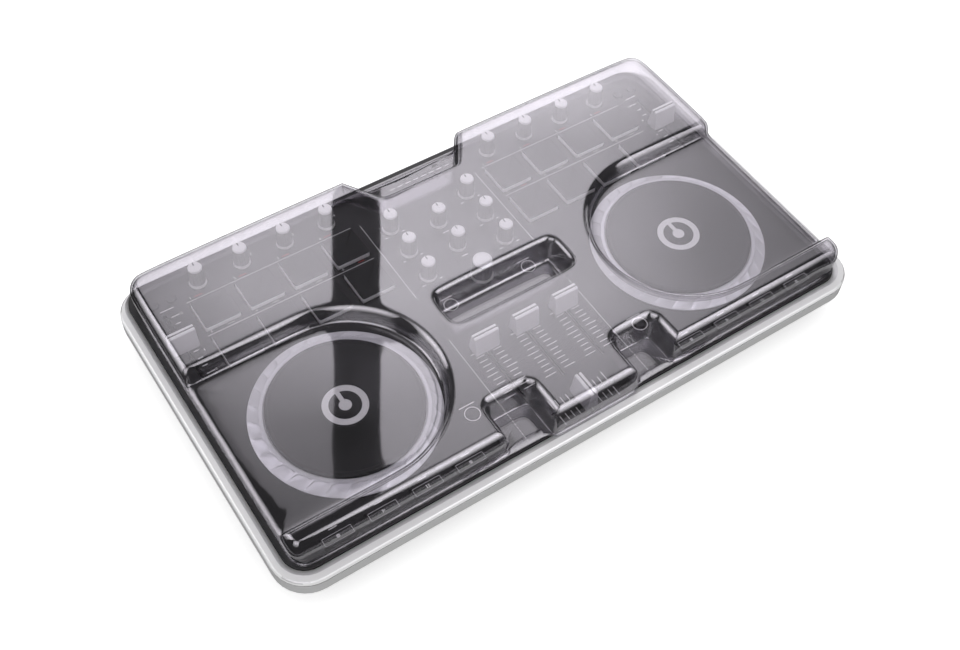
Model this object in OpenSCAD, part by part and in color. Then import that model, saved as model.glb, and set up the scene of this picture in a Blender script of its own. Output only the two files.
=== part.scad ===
// DJ controller with two jog wheels, a centre mixer and a clear lift-off cover.
// Origin: centre of the underside. +X is to the player's right, +Y to the back.

/* [Body] */
// Width over the silver rim
body_w = 474; // [472:1:478]
// Depth over the silver rim
body_d = 270; // [269:1:273]
// Height of the control panel above the table
panel_z = 34.5; // [34.5:0.5:35.5]
// Thickness of the control panel
panel_t = 3; // [2.8:0.1:3.2]
// Corner radius of the silver rim
corner_r = 25; // [22:1:26]
// Wall thickness of the moulded cases
wall = 2.5; // [2:0.1:2.8]

/* [Jog wheels] */
// Distance of each jog wheel from the centre line
jog_x = 141.9; // [141:0.1:143]
// Depth position of the jog wheels
jog_y = -37.1; // [-37.5:0.1:-36.7]
// Radius of the silver grip ring
jog_ring_r = 65.7; // [64:0.1:66]
// Radius of the black disc
jog_disc_r = 53.9; // [52:0.1:54.5]
// Height of the disc's top above the panel
jog_h = 9.1; // [8.5:0.1:9.3]

/* [Knobs] */
// Height of a knob above the panel
knob_h = 18.5; // [16:0.5:18.5]
// Radius at a small knob's top
knob_r = 5; // [4.5:0.1:5.5]
// Radius of a small knob's foot
knob_foot_r = 6.5; // [6:0.1:7]
// Radius of the browse knob
browse_r = 7.75; // [7:0.05:8]
// Radius of a potentiometer shaft
shaft_r = 3; // [2.5:0.1:3]

/* [Faders] */
// Travel of a mixer fader
fader_travel = 45; // [40:1:45]
// Travel of a pitch fader
pitch_travel = 56; // [50:1:56]
// Length of a fader cap across its slot
cap_l = 20; // [18:0.5:20]
// Height of a fader cap's top above the panel
cap_h = 17.4; // [15:0.1:17.4]

/* [Pads and buttons] */
// Pitch of the pad columns
pad_pitch = 34.95; // [34.5:0.05:35]
// Width of a pad
pad_w = 27; // [25:0.5:28]
// Height of a pad's top above the panel
pad_h = 3.6; // [3:0.1:4]
// Pitch of the transport buttons
transport_pitch = 33; // [32.5:0.1:33.5]

/* [Cover] */
// Height of the cover's flat top above the table
cover_top = 60.5; // [59:0.5:62]
// Height of the two lowered bays over the jog wheels
bay_top = 47; // [46.5:0.5:49]
// Thickness of the clear sheet
sheet_t = 2; // [1.5:0.1:2.2]
// Radius of a bay round its jog wheel
bay_r = 66; // [64:0.5:67]

/* [Hidden] */
$fn = 48;
cut = 1;
panel_under = panel_z - panel_t;
rim_top = panel_z - 0.5;
seam_z = 24;
rim_low = 20;
floor_z = 3;
tray_inset = 3;
taper = rim_low - floor_z;
skirt_t = tray_inset - 0.3;
rim_in_w = 457.2;
rim_in_front = -125.3;
rim_in_back = body_d / 2 - 1.9;
rim_in_r = 17;
case_gap = 0.3;
board_z = 18;
board_w = 436;
board_front = -124;
board_back = 121;
board_t = 1.6;
board_top = board_z + board_t;
top_gap = 0.4;
pit_gap = 0.3;
strip_t = 0.25;
foot_z = panel_z + 0.3;
foot_t = 1.6;

eq_x = 33.6;
eq_y = [85.1, 58.9, 32.3];
gain_y = [71.6, 45.2];
browse_y = 12.8;
fx_x = [72.1, 107, 142, 176.9];
fx_y = 114.2;
line_x = 33.85;
line_y = -41.4;
cross_y = -112.9;
pitch_x = 209.8;
pitch_y = 68;
pad_x0 = 72.4;
pad_back_y = 85.4;
pad_back_d = 27;
pad_front_y = 50.3;
pad_front_d = 28.4;
transport_x0 = 92.8;
transport_y = -114.7;
transport_w = 22.8;
transport_d = 8;
transport_h = 1.6;
scratch_xy = [71, -83.5];
load_xy = [33.6, 1.7];
bend_x = [199.5, 213];
bend_y = 111.5;
round_r = 3.6;
round_h = 1.2;
button_z = panel_under - pit_gap;
travel_press = 1;
switch_h = 4;
switch_top = board_top + switch_h + 1.6;
stem_z = switch_top + travel_press + top_gap;

case_screw_xy = [[-190, 118], [-40, 118], [40, 118], [190, 118], [-200, -98], [200, -98], [0, -101.4]];
board_screw_xy = [[-212, 0], [212, 0], [-60, 118], [60, 118], [-110, -108], [110, -108]];
foot_xy = [for (x = [-190, 190], y = [-90, 90]) [x, y]];
socket_z = 12.2;
jack_x = [118, 152];
rca_x = [-118, -140];
usb_x = 0;
back_y = body_d / 2 - 3;

sides = ["left", "right"];

// ---- shared shapes ----

// A flat rectangle with round corners, centred on the origin.
module round_rect(w, d, r) {
    square([w - 2 * r, d], center = true);
    square([w, d - 2 * r], center = true);
    for (x = [-1, 1], y = [-1, 1])
        translate([x * (w / 2 - r), y * (d / 2 - r)]) circle(r);
}

// The opening inside the silver rim, taken in by t all round.
module rim_opening(t) {
    translate([0, (rim_in_back + rim_in_front) / 2])
        round_rect(rim_in_w - 2 * t, rim_in_back - rim_in_front - 2 * t, rim_in_r - t);
}

// A flat plate of height h on level z, from the 2D shape below it.
module slab(z, h) {
    translate([0, 0, z]) linear_extrude(h) children();
}

// A round bar from level z0 up to level z1.
module bar(r, z0, z1) {
    translate([0, 0, z0]) cylinder(r = r, h = z1 - z0);
}

// A turned part: the polygon is given as radius and height.
module turned(points) {
    rotate_extrude() polygon(points);
}

// Places a copy at every point of a list.
module at_each(points) {
    for (p = points) translate(p) children();
}

function side_sign(s) = s == 0 ? -1 : 1;
function pad_xs(side) = [for (i = [0:3]) side * (pad_x0 + i * pad_pitch)];
function transport_xs(side) = [for (i = [0:3]) side * (transport_x0 + i * transport_pitch)];
function knob_centres() = concat(
    [for (s = [-1, 1], x = fx_x) [s * x, fx_y]],
    [for (s = [-1, 1], y = eq_y) [s * eq_x, y]],
    [for (y = gain_y) [0, y]]
);
function line_centres() = [for (i = [-1:1]) [i * line_x, line_y - fader_travel / 2]];
function round_centres() = concat(
    [for (s = [-1, 1]) [s * scratch_xy[0], scratch_xy[1]]],
    [for (s = [-1, 1]) [s * load_xy[0], load_xy[1]]],
    [for (s = [-1, 1], x = bend_x) [s * x, bend_y]]
);

// ---- housing ----

module panel_openings() {
    at_each(knob_centres()) circle(shaft_r + 1.2);
    translate([0, browse_y]) circle(shaft_r + 1.2);
    at_each(line_centres()) square([2.6, fader_travel + 8], center = true);
    translate([0, cross_y]) square([fader_travel + 8, 2.6], center = true);
    for (s = [-1, 1]) {
        translate([s * pitch_x, pitch_y]) square([2.6, pitch_travel + 8], center = true);
        translate([s * jog_x, jog_y]) circle(9.2);
    }
    for (s = [-1, 1], x = pad_xs(s)) {
        translate([x, pad_back_y]) square([pad_w + 1, pad_back_d + 1], center = true);
        translate([x, pad_front_y]) square([pad_w + 1, pad_front_d + 1], center = true);
    }
    for (s = [-1, 1], x = transport_xs(s))
        translate([x, transport_y])
            square([transport_w + 1, transport_d + 1], center = true);
    at_each(round_centres()) circle(round_r + 0.5);
}

// Black top shell: the control panel, its skirt and its screw posts.
module upper_case() {
    color([0.1, 0.1, 0.11]) difference() {
        union() {
            slab(panel_under, panel_t) difference() {
                rim_opening(case_gap);
                panel_openings();
            }
            slab(seam_z, panel_under - seam_z) difference() {
                rim_opening(case_gap);
                rim_opening(case_gap + wall);
            }
            at_each(case_screw_xy) bar(4, seam_z, panel_under);
        }
        at_each(case_screw_xy) bar(1.45, seam_z - cut, seam_z + 6);
    }
}

// The tray's block, taken in by t: upright at the back, drawn in to the floor elsewhere.
module tray_block(t) {
    x1 = body_w / 2 - tray_inset - t;
    y1 = body_d / 2 - tray_inset - t;
    z0 = floor_z + t;
    z1 = seam_z + (t > 0 ? cut : 0);
    intersection() {
        slab(z0, z1 - z0) round_rect(2 * x1, 2 * y1, corner_r - tray_inset - t);
        translate([0, body_d, 0]) rotate([90, 0, 0]) linear_extrude(2 * body_d) polygon([
            [-x1 + taper, z0], [x1 - taper, z0], [x1, z0 + taper],
            [x1, z1], [-x1, z1], [-x1, z0 + taper]
        ]);
        translate([-body_w, 0, 0]) rotate([90, 0, 90]) linear_extrude(2 * body_w) polygon([
            [-y1 + taper, z0], [y1, z0], [y1, z1], [-y1, z1], [-y1, z0 + taper]
        ]);
    }
}

// Black bottom tray with its screw posts, board posts and socket holes.
module lower_case() {
    color([0.12, 0.12, 0.13]) difference() {
        union() {
            difference() {
                tray_block(0);
                tray_block(wall);
            }
            at_each(case_screw_xy) bar(4.5, floor_z + 1, seam_z);
            at_each(board_screw_xy) bar(3, floor_z + 1, board_z);
            for (x = rca_x)
                translate([x, back_y, socket_z]) rotate([90, 0, 0]) cylinder(r = 9.2, h = 10);
        }
        at_each(case_screw_xy) bar(1.7, 0, seam_z + cut);
        at_each(case_screw_xy) bar(3.4, 0, floor_z + 3);
        at_each(board_screw_xy) bar(1.1, 10, seam_z);
        at_each(foot_xy) bar(2.8, 0, 8);
        for (x = jack_x)
            translate([x, back_y + cut, socket_z]) rotate([90, 0, 0]) cylinder(r = 5.8, h = 8);
        for (x = rca_x) {
            translate([x, back_y + cut, socket_z]) rotate([90, 0, 0]) cylinder(r = 7.8, h = 9.5);
            translate([x, back_y + cut, socket_z]) rotate([90, 0, 0]) cylinder(r = 4.4, h = 14);
        }
        translate([usb_x, back_y, socket_z]) cube([12.6, 10, 11.4], center = true);
    }
}

// Silver band round the whole body: its top frame, a groove and a skirt over the tray.
module side_rim() {
    color([0.82, 0.82, 0.84]) {
        difference() {
            slab(seam_z, rim_top - seam_z) difference() {
                round_rect(body_w, body_d, corner_r);
                rim_opening(0);
            }
            slab(rim_top - 3.4, 0.5) difference() {
                round_rect(body_w + 2, body_d + 2, corner_r + 1);
                round_rect(body_w - 1, body_d - 1, corner_r - 0.5);
            }
        }
        slab(rim_low, seam_z - rim_low) difference() {
            round_rect(body_w, body_d, corner_r);
            round_rect(body_w - 2 * skirt_t, body_d - 2 * skirt_t, corner_r - skirt_t);
        }
    }
}

// Bare light strip along the back of the mixer.
module name_strip() {
    color([0.75, 0.76, 0.78])
        slab(panel_z, strip_t) translate([0, 108.2]) round_rect(60, 11, 1);
}

// Four rubber feet with pegs into the tray.
module rubber_feet() {
    color([0.05, 0.05, 0.05]) at_each(foot_xy) {
        bar(9, 0, floor_z);
        bar(2.7, floor_z, floor_z + 4);
    }
}

// Screws from below through the tray's posts into the top shell.
module case_screws() {
    color([0.6, 0.6, 0.62]) at_each(case_screw_xy) {
        bar(3.1, floor_z + 1, floor_z + 3);
        bar(1.4, floor_z + 3, seam_z + 5);
    }
}

// ---- electronics ----

// Main circuit board.
module main_board() {
    color([0.1, 0.35, 0.18]) slab(board_z, board_t) difference() {
        translate([0, (board_back + board_front) / 2])
            round_rect(board_w, board_back - board_front, 4);
        at_each(case_screw_xy) circle(5.2);
        at_each(board_screw_xy) circle(1.3);
    }
}

module board_screws() {
    color([0.7, 0.7, 0.7]) at_each(board_screw_xy) {
        bar(2.4, board_top, board_top + 1.6);
        bar(1, board_z - 6, board_top);
    }
}

// Rotary potentiometers under the knobs, each with a bushing and a bore.
module knob_pots() {
    color([0.3, 0.32, 0.36]) at_each(concat(knob_centres(), [[0, browse_y]])) difference() {
        union() {
            slab(board_top, 7) square([11, 11], center = true);
            bar(4.6, board_top + 7, panel_under - 0.2);
        }
        bar(shaft_r + 0.05, board_top + 1.4, panel_z);
    }
}

// One slide potentiometer housing, long along Y, with an open channel on top.
module fader_body(travel) {
    slab(board_top, 10.4) difference() {
        square([9, travel + 16], center = true);
        square([5.6, travel + 12], center = true);
    }
    slab(board_top, 1.2) square([9, travel + 16], center = true);
    slab(board_top + 9.4, 1) difference() {
        square([9, travel + 16], center = true);
        square([2.6, travel + 8], center = true);
    }
}

module fader_bodies() {
    color([0.55, 0.56, 0.6]) {
        at_each(line_centres()) fader_body(fader_travel);
        translate([0, cross_y]) rotate([0, 0, 90]) fader_body(fader_travel);
        for (s = [-1, 1]) translate([s * pitch_x, pitch_y]) fader_body(pitch_travel);
    }
}

// Tact switches under every pad and button.
module tact_switches() {
    spots = concat(
        [for (s = [-1, 1], x = pad_xs(s), y = [pad_back_y, pad_front_y]) [x, y]],
        [for (s = [-1, 1], x = transport_xs(s)) [x, transport_y]],
        round_centres()
    );
    color([0.2, 0.2, 0.2]) at_each(spots) {
        slab(board_top, switch_h) square([6, 6], center = true);
        bar(1.7, board_top + switch_h, switch_top);
    }
}

// Fixed steel spindles that the jog wheels turn on.
module jog_axles() {
    color([0.7, 0.7, 0.72]) for (s = [-1, 1]) translate([s * jog_x, jog_y]) {
        bar(14, board_top, board_top + 2);
        bar(4, board_top + 2, panel_z + 2.5);
    }
}

// Small upright boards that read the jog hubs.
module jog_sensor_boards() {
    color([0.12, 0.4, 0.2]) for (s = [-1, 1]) translate([s * jog_x, jog_y + 24]) {
        translate([-11, 0, board_top]) cube([22, 1.6, 10]);
        translate([-4, -12.5, board_top + 4]) cube([8, 12.5, 5]);
    }
}

// Flat ribbons from the main board to the two jog sensors, lying on the board.
module ribbon_cables() {
    color([0.75, 0.75, 0.75]) for (s = [-1, 1]) {
        translate([s * jog_x, jog_y + 27.6, board_top + 0.8])
            cube([12, 4, 1.6], center = true);
        translate([s * (jog_x - 30), jog_y + 29.6, board_top + 0.5])
            cube([72, 3, 1], center = true);
    }
}

// USB socket: a metal shell with its tongue, facing the back.
module usb_socket() {
    color([0.72, 0.73, 0.75]) translate([usb_x, 0, socket_z]) {
        difference() {
            translate([-6, back_y - 16.5, -5.6]) cube([12, 17, 11.2]);
            translate([-4.4, back_y - 12, -4.1]) cube([8.8, 14, 8.2]);
        }
        translate([-2.8, back_y - 12, -1.6]) cube([5.6, 11, 3.2]);
    }
}

// Phono sockets for the main output, set in round wells of the tray.
module rca_sockets() {
    color([0.8, 0.72, 0.5]) for (x = rca_x) translate([x, back_y, socket_z])
        rotate([90, 0, 0]) difference() {
            union() {
                translate([0, 0, 0.5]) cylinder(r = 4.15, h = 12);
                translate([-6, -5.4, 10.2]) cube([12, 11.2, 9]);
            }
            translate([0, 0, -cut]) cylinder(r = 1.7, h = 11);
        }
}

// Headphone and microphone sockets for a 6.35 mm plug.
module jack_sockets() {
    color([0.12, 0.12, 0.13]) for (x = jack_x) translate([x, back_y, socket_z])
        rotate([90, 0, 0]) difference() {
            union() {
                translate([0, 0, -1.8]) cylinder(r = 5.5, h = 6);
                translate([-8, -5.4, 2.6]) cube([16, 11.2, 24]);
            }
            translate([0, 0, -4]) cylinder(r = 3.2, h = 26);
        }
}

// Round nuts that clamp the two jack sockets to the tray.
module jack_nuts() {
    color([0.75, 0.75, 0.77]) for (x = jack_x) translate([x, back_y + 2.2, socket_z])
        rotate([90, 0, 0]) difference() {
            cylinder(r = 7.4, h = 2.2);
            translate([0, 0, -cut]) cylinder(r = 5.55, h = 5);
        }
}

// ---- controls ----

// A knob with a wide foot, a tapering grip and its shaft, standing on the panel.
module knob(r, foot_r) {
    z0 = panel_z + top_gap;
    z1 = panel_z + knob_h;
    color([0.85, 0.85, 0.87]) {
        turned([
            [0, z0], [foot_r, z0], [foot_r, z0 + 1], [r + 0.7, z0 + 2.2],
            [r, z1 - 2], [r, z1 - 0.6], [r - 0.6, z1], [0, z1]
        ]);
        bar(shaft_r, board_top + 2.4, z0 + 1);
    }
}

// A fader cap that is long along X, with its stem, at the middle of its slot.
module fader_cap() {
    z0 = panel_z + 0.5;
    z1 = panel_z + cap_h;
    color([0.85, 0.85, 0.88]) {
        translate([-cap_l / 2, 0, 0]) rotate([90, 0, 90]) linear_extrude(cap_l) difference() {
            polygon([[-5, z0], [5, z0], [3.4, z1 - 3], [2.75, z1], [-2.75, z1], [-3.4, z1 - 3]]);
            translate([0, z1]) square([1, 1.2], center = true);
        }
        translate([-0.8, -2.5, board_top + 3]) cube([1.6, 5, z0 + 1 - board_top - 3]);
        translate([-2.3, -3.5, board_top + 3]) cube([4.6, 7, 3]);
    }
}

// A pushed key: its cap through the panel, a wider lip under it and its stem.
module key(w, d, h) {
    slab(panel_under - 2, 2 + panel_t + h) round_rect(w, d, 1);
    slab(button_z - 1.4, 1.4) square([w + 2.4, d + 2.4], center = true);
    bar(2, stem_z, button_z - 1);
}

module round_key() {
    bar(round_r, panel_under - 2, panel_z + round_h);
    bar(round_r + 1, button_z - 1.4, button_z);
    bar(2, stem_z, button_z - 1);
}

module pads(side, y, d) {
    color([0.16, 0.16, 0.18])
        for (x = pad_xs(side)) translate([x, y]) key(pad_w, d, pad_h);
}

module transport_buttons(side) {
    color([0.16, 0.16, 0.18]) for (x = transport_xs(side))
        translate([x, transport_y]) key(transport_w, transport_d, transport_h);
}

module round_button(x, y) {
    color([0.2, 0.2, 0.22]) translate([x, y]) round_key();
}

module bend_buttons(side) {
    for (x = bend_x) round_button(side * x, bend_y);
}

// Silver grip ring with its web and the hub that turns on the spindle.
module jog_ring(side) {
    z0 = panel_z + top_gap;
    z1 = panel_z + jog_h - 4.2;
    color([0.82, 0.83, 0.86]) translate([side * jog_x, jog_y]) difference() {
        union() {
            turned([
                [jog_disc_r + 0.6, z0], [jog_ring_r, z0], [jog_ring_r, z0 + 1],
                [jog_disc_r + 3.4, z1 + 1.6], [jog_disc_r + 0.6, z1 + 1.6]
            ]);
            bar(jog_disc_r + 1, z0 + 1.2, z1);
            bar(8, board_top + 4, z1);
        }
        bar(4.05, board_top, z1 - 1.4);
        for (a = [0:15:345]) rotate(a) translate([jog_ring_r + 2.4, 0, z0 - cut])
            cylinder(r = 3.2, h = 9);
    }
}

// Black touch disc on the ring's web.
module jog_disc(side) {
    z1 = panel_z + jog_h;
    color([0.08, 0.08, 0.09]) translate([side * jog_x, jog_y])
        turned([
            [0, z1 - 4.2], [jog_disc_r, z1 - 4.2], [jog_disc_r, z1 - 0.8],
            [jog_disc_r - 0.8, z1], [0, z1]
        ]);
}

// ---- clear cover ----

// The cover's outline, taken in by t all round.
module cover_outline(t) {
    difference() {
        union() {
            translate([0, 2]) round_rect(445 - 2 * t, 247 - 2 * t, 14 - t);
            translate([0, -119 + t / 2]) square([68 - 2 * t, 15 - t], center = true);
        }
        for (s = [-1, 1]) translate([s * 51.75, -120.5])
            round_rect(35.5 + 2 * t, 52 + 2 * t, 4);
        polygon([[-56 - t, 134.5], [56 + t, 134.5], [31 + t, 98 - t], [-31 - t, 98 - t]]);
    }
}

// The two lowered bays, let out by t all round.
module bay_outlines(t) {
    for (s = [-1, 1]) translate([s * jog_x, jog_y]) {
        circle(bay_r + t, $fn = 96);
        translate([s * 60, 0]) square([120, 2 * (bay_r + t)], center = true);
    }
}

// The pocket in the middle, let out by t all round.
module pocket_outline(t) {
    translate([0, -14.5]) round_rect(100 + 2 * t, 28 + 2 * t, 6);
}

// A solid block with the cover's outer shape, taken in by t.
module cover_block(t) {
    z0 = foot_z - (t > 0 ? cut : 0);
    difference() {
        union() {
            slab(z0, bay_top - t - z0) cover_outline(t);
            slab(z0, cover_top - t - z0) difference() {
                cover_outline(t);
                bay_outlines(t);
            }
        }
        slab(panel_z + 4.1 - t, 40) pocket_outline(t);
    }
}

// Clear lift-off cover: one thin sheet with a foot all round and flat floors in its notches.
module protective_cover() {
    color([0.8, 0.82, 0.85, 0.35]) {
        difference() {
            cover_block(0);
            cover_block(sheet_t);
        }
        slab(foot_z, foot_t) difference() {
            cover_outline(-2.5);
            cover_outline(sheet_t - 0.5);
        }
        for (s = [-1, 1])
            slab(foot_z, foot_t) translate([s * 51.75, -108.9]) square([37, 30], center = true);
        slab(foot_z, foot_t) polygon([[-32, 98.5], [32, 98.5], [50, 128], [-50, 128]]);
    }
}

// ---- assembly ----

upper_case();
lower_case();
side_rim();
name_strip();
main_board();
jog_axles();
jog_sensor_boards();
knob_pots();
fader_bodies();
tact_switches();
usb_socket();
rca_sockets();
jack_sockets();
jack_nuts();
rubber_feet();
case_screws();
board_screws();
ribbon_cables();
protective_cover();
translate([0, browse_y]) knob(browse_r, browse_r + 0.8);  // browse_knob
for (s = [0:1]) {
    name = sides[s];
    sign = side_sign(s);
    jog_ring(sign);
    jog_disc(sign);
    for (i = [1:4])
        translate([sign * fx_x[i - 1], fx_y]) knob(knob_r, knob_foot_r);
    for (i = [1:3])
        translate([sign * eq_x, eq_y[i - 1]]) knob(knob_r, knob_foot_r);
    translate([sign * pitch_x, pitch_y]) fader_cap();
    pads(sign, pad_back_y, pad_back_d);
    pads(sign, pad_front_y, pad_front_d);
    transport_buttons(sign);
    round_button(sign * scratch_xy[0], scratch_xy[1]);
    round_button(sign * load_xy[0], load_xy[1]);
    bend_buttons(sign);
}
for (i = [1:2])
    translate([0, gain_y[i - 1]]) knob(knob_r, knob_foot_r);
for (i = [1:3])
    translate([(i - 2) * line_x, line_y]) fader_cap();
translate([0, cross_y]) rotate([0, 0, 90]) fader_cap();  // crossfader
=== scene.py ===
"""Finished looks of the DJ controller with its clear cover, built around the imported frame.

Sizes in this file are millimetres; a piece is scaled to metres when it is finished.
"""

import logging
import math
from dataclasses import dataclass, field
from enum import Enum

import bmesh
import bpy
from mathutils import Matrix, Vector


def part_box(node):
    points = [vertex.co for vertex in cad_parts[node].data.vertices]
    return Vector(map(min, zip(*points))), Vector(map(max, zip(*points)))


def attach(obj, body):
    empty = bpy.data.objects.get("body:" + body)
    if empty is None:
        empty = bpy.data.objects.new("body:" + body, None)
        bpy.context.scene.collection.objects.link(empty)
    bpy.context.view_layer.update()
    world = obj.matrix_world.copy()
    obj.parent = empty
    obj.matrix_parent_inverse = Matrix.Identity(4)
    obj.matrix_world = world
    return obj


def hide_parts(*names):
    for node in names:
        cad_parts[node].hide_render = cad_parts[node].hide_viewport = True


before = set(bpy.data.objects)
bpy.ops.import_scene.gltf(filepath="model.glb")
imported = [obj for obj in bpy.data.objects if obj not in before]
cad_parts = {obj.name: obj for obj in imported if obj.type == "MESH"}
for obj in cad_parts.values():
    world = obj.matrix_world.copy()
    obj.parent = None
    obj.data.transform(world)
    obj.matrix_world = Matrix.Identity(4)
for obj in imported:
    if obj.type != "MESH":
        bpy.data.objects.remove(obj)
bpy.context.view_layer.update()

MM = 0.001
TOUCH = 0.0005
SCOOP_POWER = 0.6
log = logging.getLogger("dj_controller")


# ---------------------------------------------------------------- shading


class Signal:
    """A shader socket that takes part in Python arithmetic."""

    def __init__(self, paint: "Paint", socket: bpy.types.NodeSocket) -> None:
        """Wraps one output socket.

        Args:
            paint: the material that the socket belongs to.
            socket: the output socket.
        """
        self.paint = paint
        self.socket = socket

    def _math(self, operation: str, first: object, second: object = 0.0) -> "Signal":
        """Adds one Math node.

        Args:
            operation: the node's operation.
            first: its first value or signal.
            second: its second value or signal.

        Returns:
            The node's result.
        """
        return self.paint.node(
            "ShaderNodeMath", {"operation": operation}, {0: first, 1: second}
        )["Value"]

    def __add__(self, other: object) -> "Signal":
        """Sum with a value or signal."""
        return self._math("ADD", self, other)

    __radd__ = __add__

    def __sub__(self, other: object) -> "Signal":
        """Difference from a value or signal."""
        return self._math("SUBTRACT", self, other)

    def __rsub__(self, other: object) -> "Signal":
        """Value or signal minus this one."""
        return self._math("SUBTRACT", other, self)

    def __mul__(self, other: object) -> "Signal":
        """Product with a value or signal."""
        return self._math("MULTIPLY", self, other)

    __rmul__ = __mul__

    def __pow__(self, other: object) -> "Signal":
        """Power."""
        return self._math("POWER", self, other)

    def __gt__(self, other: object) -> "Signal":
        """One where this signal is greater, else zero."""
        return self._math("GREATER_THAN", self, other)


class Outputs(dict):
    """A node's outputs as signals, by name."""

    def __init__(self, paint: "Paint", made: bpy.types.Node) -> None:
        """Wraps every output of a node."""
        super().__init__({s.name: Signal(paint, s) for s in made.outputs})


class Paint:
    """A material under construction."""

    def __init__(self, name: str) -> None:
        """Starts an empty node tree.

        Args:
            name: the material's name.
        """
        self.material = bpy.data.materials.new(name)
        self.material.use_nodes = True
        self.tree = self.material.node_tree
        self.tree.nodes.clear()
        self.place = self.node("ShaderNodeTexCoord")["Object"]

    def node(
        self, kind: str, settings: dict | None = None, inputs: dict | None = None
    ) -> Outputs:
        """Adds a node.

        Args:
            kind: the node's type.
            settings: properties set first; "stops" are a ramp's (place, colour) pairs.
            inputs: values or signals by socket name or number.

        Returns:
            The node's outputs.
        """
        made = self.tree.nodes.new(kind)
        for key, value in (settings or {}).items():
            if key == "stops":
                self.set_stops(made.color_ramp.elements, value)
            else:
                setattr(made, key, value)
        for key, value in (inputs or {}).items():
            if isinstance(value, Signal):
                self.tree.links.new(value.socket, made.inputs[key])
            else:
                made.inputs[key].default_value = value
        return Outputs(self, made)

    @staticmethod
    def set_stops(elements: bpy.types.ColorRampElements, stops: list) -> None:
        """Sets a colour ramp's stops.

        Args:
            elements: the ramp's elements.
            stops: (place, colour) pairs, in order.
        """
        while len(elements) < len(stops):
            elements.new(1.0)
        for element, (place, shade) in zip(elements, stops):
            element.position = place
            element.color = shade

    def noise(self, scale: float, detail: float = 3.0, stretch: tuple = (1, 1, 1)) -> Signal:
        """Noise from 0 to 1 over the object.

        Args:
            scale: cells per metre.
            detail: octaves.
            stretch: scale along each axis.

        Returns:
            The noise.
        """
        spot = self.node("ShaderNodeMapping", {}, {"Vector": self.place, "Scale": stretch})
        return self.node(
            "ShaderNodeTexNoise", {}, {"Vector": spot["Vector"], "Scale": scale, "Detail": detail}
        )["Fac"]

    def blend(self, low: tuple, high: tuple, mask: Signal) -> Signal:
        """Mixes two colours.

        Args:
            low: colour where the mask is 0.
            high: colour where the mask is 1.
            mask: the mix.

        Returns:
            The mixed colour.
        """
        made = self.tree.nodes.new("ShaderNodeMix")
        made.data_type = "RGBA"
        for socket, value in ((made.inputs[0], mask), (made.inputs[6], low), (made.inputs[7], high)):
            if isinstance(value, Signal):
                self.tree.links.new(value.socket, socket)
            else:
                socket.default_value = value
        return Signal(self, made.outputs[2])

    def bump(self, height: Signal, strength: float, depth_mm: float) -> Signal:
        """Bends the normal by a height.

        Args:
            height: the height, from 0 to 1.
            strength: the share of the bend that is used.
            depth_mm: how deep a height of 1 is.

        Returns:
            The normal.
        """
        return self.node(
            "ShaderNodeBump", {}, {"Height": height, "Strength": strength, "Distance": depth_mm * MM}
        )["Normal"]

    def close(self, shader: Signal) -> bpy.types.Material:
        """Sends a shader to the surface and hands over the material."""
        self.node("ShaderNodeOutputMaterial", {}, {"Surface": shader})
        return self.material

    def surface(self, inputs: dict) -> bpy.types.Material:
        """Makes one opaque shader the surface and hands over the material."""
        return self.close(self.node("ShaderNodeBsdfPrincipled", {}, inputs)["BSDF"])


def tone(level: float, tint: tuple = (1.0, 1.0, 1.0)) -> tuple:
    """A colour from a grey level and a tint, with full alpha."""
    return (*(level * part for part in tint), 1.0)


class Finish:
    """A surface finish; its material is made once."""

    made: dict = {}

    def material(self) -> bpy.types.Material:
        """The finish's material.

        Returns:
            The material, made at the first call.
        """
        if self not in Finish.made:
            Finish.made[self] = self.shade(Paint(self.name))
        return Finish.made[self]


@dataclass(frozen=True)
class Moulded(Finish):
    """Injection-moulded plastic with a fine spark-eroded grain."""

    name: str
    low: tuple
    high: tuple
    roughness: float
    spread: float
    grain: float
    relief: float
    coat: float = 0.0
    coat_roughness: float = 0.12
    clouds: float = 34.0
    grain_share: float = 0.4
    grain_depth: float = 0.06

    def shade(self, paint: Paint) -> bpy.types.Material:
        """Builds the nodes.

        Args:
            paint: the material under construction.

        Returns:
            The finished material.
        """
        cloud = paint.noise(self.clouds, 4.0)
        speck = paint.noise(self.grain, 2.0)
        mask = cloud * (1 - self.grain_share) + speck * self.grain_share
        return paint.surface({
            "Base Color": paint.blend(self.low, self.high, mask),
            "Roughness": self.roughness + (mask - 0.5) * self.spread,
            "Coat Weight": self.coat,
            "Coat Roughness": self.coat_roughness,
            "Normal": paint.bump(speck, self.relief, self.grain_depth),
        })


@dataclass(frozen=True)
class SilverPaint(Finish):
    """Silver paint with fine flakes, mostly diffuse."""

    name: str
    low: tuple
    high: tuple
    metallic: float
    roughness: float
    flakes: float = 5200.0
    clouds: float = 26.0
    flake_share: float = 0.45
    spread: float = 0.16

    def shade(self, paint: Paint) -> bpy.types.Material:
        """Builds the nodes.

        Args:
            paint: the material under construction.

        Returns:
            The finished material.
        """
        flake = paint.noise(self.flakes, 1.0)
        cloud = paint.noise(self.clouds, 3.0)
        mask = flake * self.flake_share + cloud * (1 - self.flake_share)
        return paint.surface({
            "Base Color": paint.blend(self.low, self.high, mask),
            "Roughness": self.roughness + (flake - 0.5) * self.spread,
            "Metallic": self.metallic,
            "Normal": paint.bump(flake, 0.08, 0.03),
        })


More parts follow.
